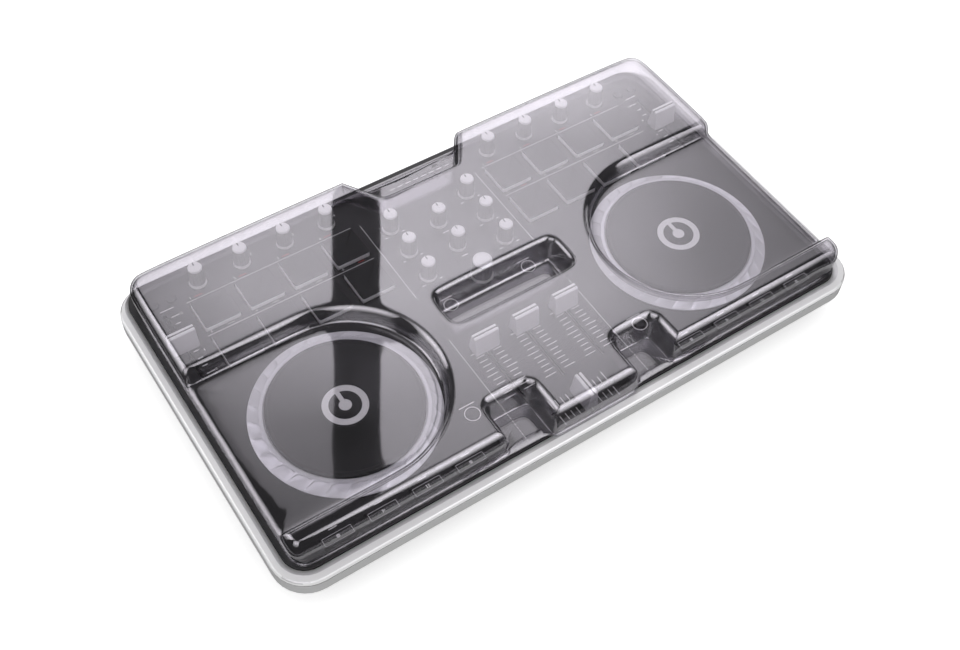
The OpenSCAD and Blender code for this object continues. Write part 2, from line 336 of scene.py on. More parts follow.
@dataclass(frozen=True)
class Metal(Finish):
    """Bare or plated metal with drawing marks along one axis."""

    name: str
    low: tuple
    high: tuple
    roughness: float = 0.32
    spread: float = 0.25
    stretch: tuple = (1.0, 1.0, 0.08)
    marks: float = 2400.0
    clouds: float = 80.0

    def shade(self, paint: Paint) -> bpy.types.Material:
        """Builds the nodes.

        Args:
            paint: the material under construction.

        Returns:
            The finished material.
        """
        mark = paint.noise(self.marks, 3.0, self.stretch)
        cloud = paint.noise(self.clouds, 3.0)
        mask = mark * 0.5 + cloud * 0.5
        return paint.surface({
            "Base Color": paint.blend(self.low, self.high, mask),
            "Roughness": self.roughness + (mark - 0.5) * self.spread,
            "Metallic": 1.0,
            "Normal": paint.bump(mark, 0.15, 0.04),
        })


@dataclass(frozen=True)
class BoardLacquer(Finish):
    """Green circuit board lacquer with copper tracks showing through."""

    name: str = "board_lacquer"
    gap: tuple = (0.02, 0.16, 0.06, 1.0)
    track: tuple = (0.01, 0.09, 0.04, 1.0)
    cells: float = 190.0
    gap_width: float = 0.07

    def shade(self, paint: Paint) -> bpy.types.Material:
        """Builds the nodes.

        Args:
            paint: the material under construction.

        Returns:
            The finished material.
        """
        edge = paint.node(
            "ShaderNodeTexVoronoi",
            {"feature": "DISTANCE_TO_EDGE"},
            {"Vector": paint.place, "Scale": self.cells},
        )["Distance"]
        track = edge > self.gap_width
        return paint.surface({
            "Base Color": paint.blend(self.gap, self.track, track),
            "Roughness": 0.3 + paint.noise(300.0) * 0.15,
            "Normal": paint.bump(track, 0.3, 0.04),
        })


@dataclass(frozen=True)
class RibbonSheath(Finish):
    """Grey ribbon cable with one groove between each pair of wires."""

    name: str = "ribbon_sheath"
    groove: tuple = (0.20, 0.20, 0.21, 1.0)
    crown: tuple = (0.46, 0.46, 0.47, 1.0)
    bands: float = 126.0

    def shade(self, paint: Paint) -> bpy.types.Material:
        """Builds the nodes.

        Args:
            paint: the material under construction.

        Returns:
            The finished material.
        """
        ribs = paint.node(
            "ShaderNodeTexWave",
            {"bands_direction": "Y"},
            {"Vector": paint.place, "Scale": self.bands, "Distortion": 0.0},
        )["Fac"]
        return paint.surface({
            "Base Color": paint.blend(self.groove, self.crown, ribs),
            "Roughness": 0.5 + ribs * 0.1,
            "Normal": paint.bump(ribs, 0.6, 0.3),
        })


@dataclass(frozen=True)
class ClearSheet(Finish):
    """Smoke-tinted clear sheet: it tints what lies under it and mirrors the lights."""

    name: str = "clear_sheet"
    straight: tuple = (0.91, 0.90, 0.92, 1.0)
    grazing: tuple = (0.10, 0.10, 0.11, 1.0)
    tint_power: float = 2.6
    least_gloss: float = 0.12
    gloss_power: float = 5.0
    ripples: float = 11.0
    polish: float = 0.015
    polish_spread: float = 0.03

    def shade(self, paint: Paint) -> bpy.types.Material:
        """Builds the nodes.

        Args:
            paint: the material under construction.

        Returns:
            The finished material.
        """
        slant = paint.node("ShaderNodeLayerWeight", {}, {"Blend": 0.5})["Facing"]
        gloss = self.least_gloss + (1 - self.least_gloss) * slant**self.gloss_power
        tint = paint.blend(self.straight, self.grazing, slant**self.tint_power)
        through = paint.node("ShaderNodeBsdfTransparent", {}, {"Color": tint})["BSDF"]
        ripple = paint.noise(self.ripples, 2.0)
        mirror = paint.node(
            "ShaderNodeBsdfPrincipled",
            {},
            {
                "Base Color": tone(1.0),
                "Metallic": 1.0,
                "Roughness": self.polish + ripple * self.polish_spread,
                "Normal": paint.bump(ripple, 0.5, 0.25),
            },
        )["BSDF"]
        mixed = paint.node("ShaderNodeMixShader", {}, {0: gloss, 1: through, 2: mirror})["Shader"]
        return paint.close(mixed)


@dataclass(frozen=True)
class FloorPaint(Finish):
    """Plain pale studio floor."""

    name: str = "studio_floor"
    colour: tuple = (0.9, 0.9, 0.9, 1.0)
    glow: float = 0.52

    def shade(self, paint: Paint) -> bpy.types.Material:
        """Builds the nodes.

        Args:
            paint: the material under construction.

        Returns:
            The finished material.
        """
        return paint.surface({
            "Base Color": self.colour,
            "Roughness": 0.9,
            "Specular IOR Level": 0.0,
            "Emission Color": tone(1.0),
            "Emission Strength": self.glow,
        })


COOL = (1.0, 1.0, 1.03)
LILAC = (1.0, 0.98, 1.02)
PANEL_BLACK = Moulded("panel_black", tone(0.012), tone(0.020), 0.36, 0.10, 2200.0, 0.04)
CASE_BLACK = Moulded("case_black", tone(0.016), tone(0.030), 0.62, 0.15, 1500.0, 0.35)
SILVER_RIM = SilverPaint("silver_rim_paint", tone(0.74), tone(0.84), 0.2, 0.4)
# Darker copy of the rim's silver for the side below the seam: painted shade.
SILVER_SIDE_SHADE = SilverPaint("silver_side_painted_shade", tone(0.50), tone(0.60), 0.3, 0.34)
# Darker copy of the rim's silver for its inner slope by the cover: painted shade.
SILVER_SLOPE_SHADE = SilverPaint("silver_slope_painted_shade", tone(0.54), tone(0.64), 0.4, 0.34)
SILVER_RING = SilverPaint("silver_ring_paint", tone(0.80, COOL), tone(0.95, COOL), 0.22, 0.3)
PLATE_PALE = SilverPaint("pale_plate_paint", tone(0.42), tone(0.55), 0.5, 0.36)
DISC_BLACK = Moulded("disc_black", tone(0.014), tone(0.024), 0.34, 0.10, 1800.0, 0.10, 0.2)
CAP_WHITE = Moulded("cap_white", tone(0.86), tone(0.94), 0.36, 0.08, 1800.0, 0.05)
CAP_GREY = Moulded("cap_grey", tone(0.48, LILAC), tone(0.58, LILAC), 0.42, 0.1, 1800.0, 0.08)
# Pale band round a knob's foot, a painted highlight; also the pale ring on the browse knob's cap.
PALE_FOOT_SHEEN_AND_RING = Moulded("pale_foot_sheen_and_ring", tone(0.60), tone(0.72), 0.3, 0.08, 1700.0, 0.04)
GRIP_GREY = Moulded("grip_grey", tone(0.10), tone(0.15), 0.46, 0.12, 1700.0, 0.16)
PAD_BLACK = Moulded("pad_black", tone(0.014), tone(0.026), 0.60, 0.12, 1300.0, 0.25)
PAD_SIDE = Moulded("pad_side_clear", tone(0.80), tone(0.92), 0.40, 0.10, 900.0, 0.06)
KEY_BLACK = Moulded("key_black", tone(0.014), tone(0.024), 0.38, 0.12, 1700.0, 0.10)
INK_WHITE = Moulded("ink_white", tone(0.84), tone(0.95), 0.55, 0.1, 4200.0, 0.04)
INK_GREY = Moulded("ink_grey", tone(0.50), tone(0.62), 0.55, 0.1, 4200.0, 0.04)
INK_RED = Moulded("ink_red", (0.42, 0.02, 0.02, 1), (0.55, 0.04, 0.03, 1), 0.55, 0.1, 4200.0, 0.04)
RUBBER = Moulded("foot_rubber", tone(0.018), tone(0.032), 0.82, 0.12, 900.0, 0.5)
STEEL = Metal("drawn_steel", tone(0.42), tone(0.62))
BRASS = Metal("plated_brass", (0.55, 0.40, 0.14, 1), (0.78, 0.60, 0.26, 1), 0.26)
SHEET = ClearSheet()


# ---------------------------------------------------------------- mesh tools


def span(node: str) -> tuple[Vector, Vector]:
    """A CAD node's lowest and highest corners, in millimetres."""
    low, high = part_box(node)
    return low / MM, high / MM


def middle(node: str) -> tuple[float, float]:
    """A CAD node's centre seen from above, in millimetres."""
    low, high = span(node)
    return (low.x + high.x) / 2, (low.y + high.y) / 2


def join(target: bmesh.types.BMesh, part: bmesh.types.BMesh, finish: int = 0) -> None:
    """Adds a part to a mesh and frees the part.

    Args:
        target: the mesh that grows.
        part: the mesh that is added.
        finish: added to the part's finish numbers.
    """
    for face in part.faces:
        face.material_index += finish
    holder = bpy.data.meshes.new("holder")
    part.to_mesh(holder)
    part.free()
    target.from_mesh(holder)
    bpy.data.meshes.remove(holder)


def round_edges(part: bmesh.types.BMesh, edges: list, reach: float, segments: int = 2) -> None:
    """Rounds edges.

    Args:
        part: the mesh.
        edges: the edges.
        reach: how far the round reaches from the edge.
        segments: facets across it.
    """
    bmesh.ops.bevel(
        part,
        geom=edges,
        offset=reach,
        offset_type="OFFSET",
        affect="EDGES",
        segments=segments,
        profile=0.5,
        material=-1,
        clamp_overlap=True,
    )


def block(low: tuple, high: tuple, reach: float = 0.0, segments: int = 2) -> bmesh.types.BMesh:
    """A box between two corners with rounded edges.

    Args:
        low: its lowest corner.
        high: its highest corner.
        reach: the rounding; none if 0.
        segments: facets across a rounded edge.

    Returns:
        The box's mesh.
    """
    part = bmesh.new()
    size = Vector(high) - Vector(low)
    place = Matrix.Translation((Vector(high) + Vector(low)) / 2) @ Matrix.Diagonal((*size, 1))
    bmesh.ops.create_cube(part, size=1.0, matrix=place)
    if reach:
        round_edges(part, part.edges[:], reach, segments)
    return part


def next_ring(part: bmesh.types.BMesh, ring: list, points: list) -> list:
    """Extrudes a closed ring of vertices to new points.

    Args:
        part: the mesh.
        ring: the ring's vertices, in order.
        points: where the new ring goes, in the same order.

    Returns:
        The new ring's vertices, in order.
    """
    following = ring[1:] + ring[:1]
    edges = [part.edges.get(pair) for pair in zip(ring, following)]
    grown = bmesh.ops.extrude_edge_only(part, edges=edges)["geom"]
    new = {v for v in grown if isinstance(v, bmesh.types.BMVert)}
    raised = []
    for vert, point in zip(ring, points):
        top = next(e.other_vert(vert) for e in vert.link_edges if e.other_vert(vert) in new)
        top.co = point
        raised.append(top)
    return raised


def swept(loops: list, closed: bool = False, capped: bool = False) -> bmesh.types.BMesh:
    """A skin through closed loops of points.

    Args:
        loops: loops of the same number of points.
        closed: the last loop joins the first.
        capped: the last loop is filled with one face.

    Returns:
        The skin's mesh.
    """
    part = bmesh.new()
    ring = [part.verts.new(point) for point in loops[0]]
    for pair in zip(ring, ring[1:] + ring[:1]):
        part.edges.new(pair)
    first = ring
    for points in loops[1:]:
        ring = next_ring(part, ring, points)
    if closed:
        edges = [part.edges.get(pair) for pair in zip(ring, ring[1:] + ring[:1])]
        edges += [part.edges.get(pair) for pair in zip(first, first[1:] + first[:1])]
        bmesh.ops.bridge_loops(part, edges=edges)
    if capped:
        part.faces.new(ring)
    return part


def turned(profile: list, centre: tuple, steps: int = 48) -> bmesh.types.BMesh:
    """A part turned round the vertical through centre.

    Args:
        profile: (radius, height) points.
        centre: the axis, as (x, y).
        steps: facets round the axis.

    Returns:
        The part's mesh.
    """
    part = bmesh.new()
    verts = [part.verts.new((radius, 0, height)) for radius, height in profile]
    edges = [part.edges.new(pair) for pair in zip(verts, verts[1:])]
    bmesh.ops.spin(
        part,
        geom=verts + edges,
        cent=(0, 0, 0),
        axis=(0, 0, 1),
        angle=math.tau,
        steps=steps,
        use_merge=True,
        use_duplicate=False,
    )
    bmesh.ops.translate(part, vec=(*centre, 0), verts=part.verts)
    bmesh.ops.remove_doubles(part, verts=part.verts, dist=TOUCH)
    return part


def wavy_turned(
    rings: list, centre: tuple, waves: int, per_wave: int, closed: bool
) -> bmesh.types.BMesh:
    """A turned part whose radius dips in scoops round it.

    Args:
        rings: (radius, height, dip, twist) of each ring; twist is in scoops.
        centre: the axis, as (x, y).
        waves: scoops round the part.
        per_wave: facets across a scoop.
        closed: the last ring joins the first.

    Returns:
        The part's mesh.
    """
    count = waves * per_wave
    loops = []
    for radius, height, dip, twist in rings:
        loop = []
        for step in range(count):
            share = (step % per_wave) / per_wave
            reach = radius - dip * math.sin(math.pi * share) ** SCOOP_POWER
            angle = math.tau * (step / count + twist / waves)
            loop.append(
                Vector((centre[0] + reach * math.cos(angle), centre[1] + reach * math.sin(angle), height))
            )
        loops.append(loop)
    part = swept(loops, closed=closed)
    bmesh.ops.remove_doubles(part, verts=part.verts, dist=TOUCH)
    return part


def extruded(profile: list, depth: float, place: Matrix) -> bmesh.types.BMesh:
    """A flat outline pushed out along its normal.

    Args:
        profile: (x, y) points of the outline.
        depth: how far it is pushed.
        place: where the part goes.

    Returns:
        The part's mesh.
    """
    part = bmesh.new()
    face = part.faces.new([part.verts.new((x, y, 0)) for x, y in profile])
    grown = bmesh.ops.extrude_face_region(part, geom=[face])["geom"]
    moved = [v for v in grown if isinstance(v, bmesh.types.BMVert)]
    bmesh.ops.translate(part, vec=(0, 0, depth), verts=moved)
    bmesh.ops.transform(part, matrix=place, verts=part.verts)
    return part


def paint_top(part: bmesh.types.BMesh, above: float, number: int) -> None:
    """Gives a finish to the faces whose centre is above a height.

    Args:
        part: the mesh.
        above: the height.
        number: the finish's number.
    """
    for face in part.faces:
        if face.calc_center_median().z > above:
            face.material_index = number


class Bend(Enum):
    """How an outline turns at a corner."""

    PLAIN = "plain"
    ROUND = "round"
    SOFT = "soft"


@dataclass(frozen=True)
class Corner:
    """One corner of an outline; size is its radius, or the reach of a soft corner."""

    x: float
    y: float
    bend: Bend = Bend.PLAIN
    size: float = 0.0

    def mirrored(self) -> "Corner":
        """The corner on the other side of the centre line."""
        return Corner(-self.x, self.y, self.bend, self.size)


@dataclass(frozen=True)
class Outline:
    """A closed outline, walked with its inside on the left.

    A round is at least as large as least and has a facet about every step degrees; a soft corner
    shrinks to a point as the inset grows to soft_end.
    """

    corners: tuple
    least: float = 1.2
    step: float = 30.0
    soft_end: float = 10.0

    def _frames(self) -> list:
        """How the outline turns.

        Returns:
            Each corner with its place, its two directions, the first edge's inward direction, the
            way it moves for an inset of one, and its angle.
        """
        frames = []
        for i, corner in enumerate(self.corners):
            last, after = self.corners[i - 1], self.corners[(i + 1) % len(self.corners)]
            here = Vector((corner.x, corner.y))
            arrive = (here - Vector((last.x, last.y))).normalized()
            leave = (Vector((after.x, after.y)) - here).normalized()
            inward = Vector((-arrive.y, arrive.x)), Vector((-leave.y, leave.x))
            reach = (inward[0] + inward[1]) / (1 + inward[0].dot(inward[1]))
            angle = math.atan2(arrive.cross(leave), arrive.dot(leave))
            frames.append((corner, here, arrive, leave, inward[0], reach, angle))
        return frames

    def moved(self, inset: float) -> "Outline":
        """The same outline, moved inwards.

        Args:
            inset: how far it is moved.

        Returns:
            The new outline.
        """
        corners = []
        for corner, here, _, _, _, reach, angle in self._frames():
            spot = here + inset * reach
            size = corner.size
            if corner.bend is Bend.ROUND:
                size -= math.copysign(inset, angle)
            corners.append(Corner(spot.x, spot.y, corner.bend, size))
        return Outline(tuple(corners), self.least, self.step)

    def loop(self, inset: float, z: float) -> list:
        """The outline's points.

        Args:
            inset: how far the outline is moved inwards.
            z: the height of the points.

        Returns:
            The points, in order.
        """
        points = []
        for corner, here, arrive, leave, inward, reach, angle in self._frames():
            spot = here + inset * reach
            if corner.bend is Bend.PLAIN:
                points.append(spot)
            elif corner.bend is Bend.SOFT:
                side = corner.size * (1 - inset / self.soft_end)
                points += [spot - side * arrive, spot, spot + side * leave]
            else:
                way = math.copysign(1, angle)
                radius = max(corner.size - way * inset, self.least)
                centre = spot + way * radius * reach
                steps = max(1, round(abs(math.degrees(angle)) / self.step))
                for k in range(steps + 1):
                    turn = Matrix.Rotation(angle * k / steps, 2)
                    points.append(centre - way * radius * (turn @ inward))
        return [Vector((point.x, point.y, z)) for point in points]


def rectangle(
    low: tuple, high: tuple, radius: float, step: float = 11.25, least: float = 0.2
) -> Outline:
    """An outline with four round corners.

    Args:
        low: its lowest corner, as (x, y).
        high: its highest corner.
        radius: the corners' radius.
        step: degrees of a round to a facet.
        least: the least radius of an inset round.

    Returns:
        The outline.
    """
    spots = (low, (high[0], low[1]), high, (low[0], high[1]))
    return Outline(tuple(Corner(*spot, Bend.ROUND, radius) for spot in spots), least, step)


@dataclass
class Piece:
    """A finished piece of the controller."""

    name: str
    body: str
    slot: str
    finishes: tuple
    replaced: tuple = ()
    crease: float = 38.0
    soften: int = 0
    wall: float = 0.0
    mesh: bmesh.types.BMesh = field(default_factory=bmesh.new)

    def number(self, finish: Finish) -> int:
        """A finish's number in the piece."""
        return self.finishes.index(finish)

    def add(self, part: bmesh.types.BMesh, finish: Finish | None = None) -> None:
        """Takes a part into the piece, in one finish or as it is painted."""
        join(self.mesh, part, self.number(finish) if finish else 0)

    def finish(self) -> bpy.types.Object:
        """Closes the mesh, makes the object, and says where it belongs.

        Returns:
            The object.
        """
        bmesh.ops.remove_doubles(self.mesh, verts=self.mesh.verts, dist=TOUCH)
        if not self.wall:
            bmesh.ops.recalc_face_normals(self.mesh, faces=self.mesh.faces)
        for face in self.mesh.faces:
            face.smooth = True
        for edge in self.mesh.edges:
            edge.smooth = edge.calc_face_angle(0.0) < math.radians(self.crease)
        bmesh.ops.scale(self.mesh, vec=(MM, MM, MM), verts=self.mesh.verts)
        data = bpy.data.meshes.new(self.name)
        self.mesh.to_mesh(data)
        self.mesh.free()
        for finish in self.finishes:
            data.materials.append(finish.material())
        made = bpy.data.objects.new(self.name, data)
        bpy.context.scene.collection.objects.link(made)
        if self.soften:
            soft = made.modifiers.new("soften", "SUBSURF")
            soft.levels = soft.render_levels = self.soften
        if self.wall:
            solid = made.modifiers.new("wall", "SOLIDIFY")
            solid.thickness = self.wall * MM
            solid.offset = -1.0
        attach(made, self.body)
        if self.replaced:
            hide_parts(*self.replaced)
        log.info("%s: %d faces on %s", self.name, len(data.polygons), self.body)
        return made

# ---------------------------------------------------------------- studio


@dataclass(frozen=True)
class Softbox:
    """A light that the cover's flat top mirrors into the camera; its edges are slopes from its axis.

    Each fade is a tuple of (place, share) stops, from the left edge and from the lower edge.
    """

    name: str
    across: tuple
    upright: tuple
    radiance: float
    fade_across: tuple
    fade_upright: tuple


@dataclass(frozen=True)
class Card:
    """A highlight card that only glossy surfaces see, in a direction from the centre."""

    name: str
    toward: tuple
    size: tuple
    radiance: float
    distance: float = 1.6


@dataclass
class Studio:
    """Camera, floor, sky and soft lights; its lengths are metres."""

    spot: tuple = (-0.3351, -0.4484, 0.7441)
    azimuth: float = -36.086
    elevation: float = 53.512
    roll: float = 3.304
    lens: float = 46.85
    sensor: float = 36.0
    mirror_z: float = 0.0605
    reach: float = 2.1
    light_tint: tuple = (1.0, 0.965, 1.03)
    softboxes: tuple = (
        Softbox(
            "left_softbox", (-0.30, -0.118), (-0.15, 0.24), 1.75,
            ((0, 0.45), (0.3, 0.75), (0.6, 1), (1, 1)),
            ((0, 0.2), (0.2, 0.4), (0.45, 1), (1, 1)),
        ),
        Softbox(
            "right_softbox", (-0.080, 0.32), (-0.15, 0.24), 2.9,
            ((0, 1), (0.2, 0.97), (0.42, 0.87), (0.67, 0.46), (0.95, 0.24)),
            ((0, 0.29), (0.25, 0.46), (0.45, 0.71), (0.76, 0.71), (0.87, 1), (1, 1)),
        ),
    )
    cards: tuple = (
        Card("front_card", (0.35, -0.71, 0.61), (1.1, 2.8), 3.9),
        Card("left_card", (-0.74, 0.47, 0.47), (0.85, 2.8), 1.3),
        Card("left_edge_card", (-0.595, 0.28, 0.32), (0.44, 0.8), 2.5, 0.73),
        Card("near_card", (-0.62, -0.50, 0.60), (1.6, 2.0), 2.8),
        Card("back_card", (0.36, 0.90, 0.18), (3.2, 0.9), 2.7, 2.2),
        Card("right_card", (0.90, 0.42, 0.12), (2.0, 0.7), 2.7, 2.2),
    )
    card_fades: tuple = (
        ((0, 0.5), (0.2, 1), (0.8, 1), (1, 0.5)),
        ((0, 0.1), (0.3, 0.65), (0.5, 1), (0.7, 0.65), (1, 0.1)),
    )
    sky_soft: float = 0.88
    sky_mirrored: float = 0.028
    sky_seen: float = 1.0
    floor_half: float = 6.0
    floor_cells: int = 8
    floor_z: float = -0.0004

    def axes(self) -> tuple[Vector, Vector, Vector]:
        """The camera's axes.

        Returns:
            Its right, up and back directions.
        """
        a, e, r = (math.radians(v) for v in (self.azimuth, self.elevation, self.roll))
        back = Vector((math.sin(a) * math.cos(e), -math.cos(a) * math.cos(e), math.sin(e)))
        level = Vector((math.cos(a), math.sin(a), 0))
        rise = back.cross(level)
        right = math.cos(r) * level + math.sin(r) * rise
        return right, math.cos(r) * rise - math.sin(r) * level, back

    def camera(self) -> None:
        """Sets up the camera."""
        data = bpy.data.cameras.new("studio_camera")
        data.lens = self.lens
        data.sensor_width = self.sensor
        data.clip_start = 0.01
        made = bpy.data.objects.new("studio_camera", data)
        bpy.context.scene.collection.objects.link(made)
        turn = Matrix(self.axes()).transposed()
        made.matrix_world = Matrix.Translation(self.spot) @ turn.to_4x4()
        bpy.context.scene.camera = made

    def panel(self, name: str, matrix: Matrix, size: tuple, radiance: float) -> bpy.types.Object:
        """A rectangular soft light.

        Args:
            name: the light's name.
            matrix: its place; it shines along its own -Z.
            size: its width and height.
            radiance: the brightness of its face.

        Returns:
            The light.
        """
        data = bpy.data.lights.new(name, "AREA")
        data.shape = "RECTANGLE"
        data.size, data.size_y = size
        data.energy = math.pi * size[0] * size[1] * radiance
        data.color = self.light_tint
        made = bpy.data.objects.new(name, data)
        bpy.context.scene.collection.objects.link(made)
        made.matrix_world = matrix
        made.visible_camera = False
        return made

    def hang_softbox(self, box: Softbox) -> None:
        """Hangs a softbox where the cover's top mirrors it.

        Args:
            box: the softbox.
        """
        flip = Matrix.Diagonal((1, 1, -1))
        right, up, back = (flip @ axis for axis in self.axes())
        eye = Vector((self.spot[0], self.spot[1], 2 * self.mirror_z - self.spot[2]))
        aim = sum(box.across) / 2 * right + sum(box.upright) / 2 * up
        centre = eye + self.reach * (aim - back)
        turn = Matrix((right, up, -back)).transposed()
        place = Matrix.Translation(centre) @ turn.to_4x4()
        size = tuple(self.reach * (last - first) for first, last in (box.across, box.upright))
        light = self.panel(box.name, place, size, box.radiance)
        self.shape_glow(light, box.fade_across, box.fade_upright)

    def hang_card(self, card: Card) -> None:
        """Hangs a highlight card so that it faces the centre.

        Args:
            card: the card.
        """
        way = Vector(card.toward).normalized()
        turn = way.to_track_quat("Z", "Y").to_matrix().to_4x4()
        place = Matrix.Translation(way * card.distance) @ turn
        light = self.panel(card.name, place, card.size, card.radiance)
        self.shape_glow(light, *self.card_fades)
        light.visible_diffuse = False

    @staticmethod
    def shape_glow(light: bpy.types.Object, across: tuple, upright: tuple) -> None:
        """Fades a light over its face.

        Args:
            light: the area light.
            across: (place, share) stops from its left edge to its right.
            upright: (place, share) stops from its lower edge to its upper.
        """
        light.data.use_nodes = True
        tree = light.data.node_tree
        emission = next(n for n in tree.nodes if n.type == "EMISSION")
        split = tree.nodes.new("ShaderNodeSeparateXYZ")
        tree.links.new(tree.nodes.new("ShaderNodeNewGeometry").outputs["Parametric"], split.inputs[0])
        product = tree.nodes.new("ShaderNodeMath")
        product.operation = "MULTIPLY"
        for number, stops in enumerate((across, upright)):
            ramp = tree.nodes.new("ShaderNodeValToRGB")
            Paint.set_stops(ramp.color_ramp.elements, [(place, tone(share)) for place, share in stops])
            tree.links.new(split.outputs[number], ramp.inputs[0])
            tree.links.new(ramp.outputs[0], product.inputs[number])
        tree.links.new(product.outputs[0], emission.inputs["Strength"])

    def sky(self) -> None:
        """White to the camera, soft to surfaces and dark in reflections."""
        world = bpy.data.worlds.new("studio_sky")
        bpy.context.scene.world = world
        world.use_nodes = True
        tree = world.node_tree
        tree.nodes.clear()
        path = tree.nodes.new("ShaderNodeLightPath")
        glossy = tree.nodes.new("ShaderNodeMix")
        glossy.inputs[2].default_value = self.sky_soft
        glossy.inputs[3].default_value = self.sky_mirrored
        tree.links.new(path.outputs["Is Glossy Ray"], glossy.inputs[0])
        seen = tree.nodes.new("ShaderNodeMix")
        seen.inputs[3].default_value = self.sky_seen
        tree.links.new(path.outputs["Is Camera Ray"], seen.inputs[0])
        tree.links.new(glossy.outputs[0], seen.inputs[2])
        background = tree.nodes.new("ShaderNodeBackground")
        background.inputs["Color"].default_value = tone(1.0)
        tree.links.new(seen.outputs[0], background.inputs["Strength"])
        output = tree.nodes.new("ShaderNodeOutputWorld")
        tree.links.new(background.outputs[0], output.inputs[0])

    def floor(self) -> None:
        """A large pale floor under the feet."""
        plane = bmesh.new()
        bmesh.ops.create_grid(
            plane, x_segments=self.floor_cells, y_segments=self.floor_cells, size=self.floor_half
        )
        data = bpy.data.meshes.new("studio_floor")
        plane.to_mesh(data)
        plane.free()
        data.materials.append(FloorPaint().material())
        made = bpy.data.objects.new("studio_floor", data)
        bpy.context.scene.collection.objects.link(made)
        made.location.z = self.floor_z
        made.visible_glossy = False

    def build(self) -> None:
        """Sets the whole studio."""
        self.camera()
        self.sky()
        self.floor()
        for box in self.softboxes:
            self.hang_softbox(box)
        for card in self.cards:
            self.hang_card(card)
        bpy.context.scene.view_settings.view_transform = "Standard"


# ---------------------------------------------------------------- cover


@dataclass
class ClearCover:
    """The moulded clear cover: foot flange, walls, flat top, two bays and a pocket.

    Each tuple of rings is a profile of (inset, height) points.
    """

    wall: float = 1.6
    weld: float = 0.01
    foot_rings: tuple = (
        (0, 36.4), (0.3, 36.4), (0.7, 36.4), (1.1, 36.8), (1.25, 38.3), (1.6, 47),
    )
    top_rings: tuple = (
        (0, 47), (0.1, 50.2), (0.5, 53.2), (1.4, 56), (3.0, 58.5), (4.9, 60), (6.5, 60.5), (7.0, 60.5),
    )
    pocket_rings: tuple = (
        (-6.5, 60.5), (-5, 60.5), (-2.5, 59.83), (-0.67, 58), (0, 55.5), (0.5, 49), (1.0, 43),
        (1.54, 40.6), (3.0, 39.14), (5.0, 38.6), (6.5, 38.6),
    )
    bay_rings: tuple = ((0, 47), (7.5, 47))
    bay_centre: tuple = (141.9, -37.1)
    bay_radius: float = 66.5
    bay_front: float = -103.1
    bay_back: float = 28.9
    bay_mouth: float = 180.0
    front_soft: float = 4.0
    back_soft: float = 9.0
    side_stops: tuple = (-60.0, -37.1, -10.0)
    pocket_half: tuple = (50.0, 14.0)
    pocket_y: float = -14.5
    pocket_round: float = 6.0
    front_step: float = 5.0
    front_round: float = 11.0
    back_round: float = 17.0
    mouth_round: float = 5.0
    notch_round: float = 3.0
    notch_x: tuple = (36.5, 67.0)
    notch_y: float = -97.0
    back_notch_x: tuple = (48.5, 29.7)
    back_notch_y: float = 100.5
    notch_floor_x: tuple = (36.0, 72.1)
    notch_floor_y: tuple = (-124.2, -90.0)
    back_floor_x: float = 54.0
    back_floor_y: float = 99.0
    floor_rim: float = 0.35
    flare: tuple = (3.2, 1.6)
    flare_rise: float = 9.0
    flare_from: tuple = (190.0, 100.0)
    flare_run: tuple = (25.0, 22.0)

    def foot_outline(self) -> tuple[Outline, int, int]:
        """The foot's outer edge.

        Returns:
            The outline, and the numbers of the corners at which the right side and the back start.
        """
        low, high = span("protective_cover")
        near, far = self.notch_x
        front = low.y + self.front_step
        ahead = (
            Corner(0, low.y),
            Corner(near, low.y, Bend.ROUND, self.mouth_round),
            Corner(near, self.notch_y, Bend.ROUND, self.notch_round),
            Corner(far, self.notch_y, Bend.ROUND, self.notch_round),
            Corner(far, front, Bend.ROUND, self.mouth_round),
            Corner(high.x, front, Bend.ROUND, self.front_round),
        )
        stretch = (
            self.bay_front - self.front_soft, self.bay_front, self.bay_front + self.front_soft,
            *self.side_stops,
            self.bay_back - self.back_soft, self.bay_back, self.bay_back + self.back_soft,
        )
        side = tuple(Corner(high.x, y) for y in stretch)
        wide, narrow = self.back_notch_x
        behind = (
            Corner(high.x, high.y, Bend.ROUND, self.back_round),
            Corner(wide, high.y, Bend.ROUND, self.mouth_round),
            Corner(narrow, self.back_notch_y, Bend.ROUND, self.notch_round),
            Corner(0, self.back_notch_y),
        )
        half = ahead + side + behind
        return Outline(self.both_halves(half)), len(ahead), len(ahead) + len(side)

    @staticmethod
    def both_halves(half: tuple) -> tuple:
        """A right half from centre line to centre line, with its mirror image."""
        return half + tuple(c.mirrored() for c in reversed(half[1:-1]))

    def bay_arc(self) -> tuple:
        """The bay's round wall.

        Returns:
            Corners round the jog wheel, from the front to the back.
        """
        x, y = self.bay_centre
        arc = []
        for degrees in range(270, 89, -12):
            a = math.radians(degrees)
            arc.append(Corner(x + self.bay_radius * math.cos(a), y + self.bay_radius * math.sin(a)))
        return tuple(arc)

    def build(self) -> None:
        """Makes the cover."""
        piece = Piece("clear_cover", "protective_cover", "clear_cover", (SHEET,), ("protective_cover",),
                      crease=180.0, soften=2, wall=self.wall)
        foot, first, last = self.foot_outline()
        piece.add(swept([foot.loop(s, z) for s, z in self.foot_rings]))

        edge = foot.moved(self.foot_rings[-1][0])
        half = edge.corners[: (len(edge.corners) + 2) // 2]
        side_x = half[first].x
        front = Corner(side_x, self.bay_front, Bend.SOFT, self.front_soft)
        back = Corner(side_x, self.bay_back, Bend.SOFT, self.back_soft)
        mouth = Corner(self.bay_mouth, self.bay_front), Corner(self.bay_mouth, self.bay_back)
        path = (front, mouth[0], *self.bay_arc(), mouth[1], back)
        top = Outline(self.both_halves(half[:first] + path + half[last:]))
        piece.add(swept([top.loop(s, z) for s, z in self.top_rings]))

        bay = tuple(reversed(path)) + tuple(Corner(side_x, y) for y in self.side_stops)
        for corners in (bay, tuple(c.mirrored() for c in reversed(bay))):
            outline = Outline(corners)
            piece.add(swept([outline.loop(s, z) for s, z in self.bay_rings], capped=True))

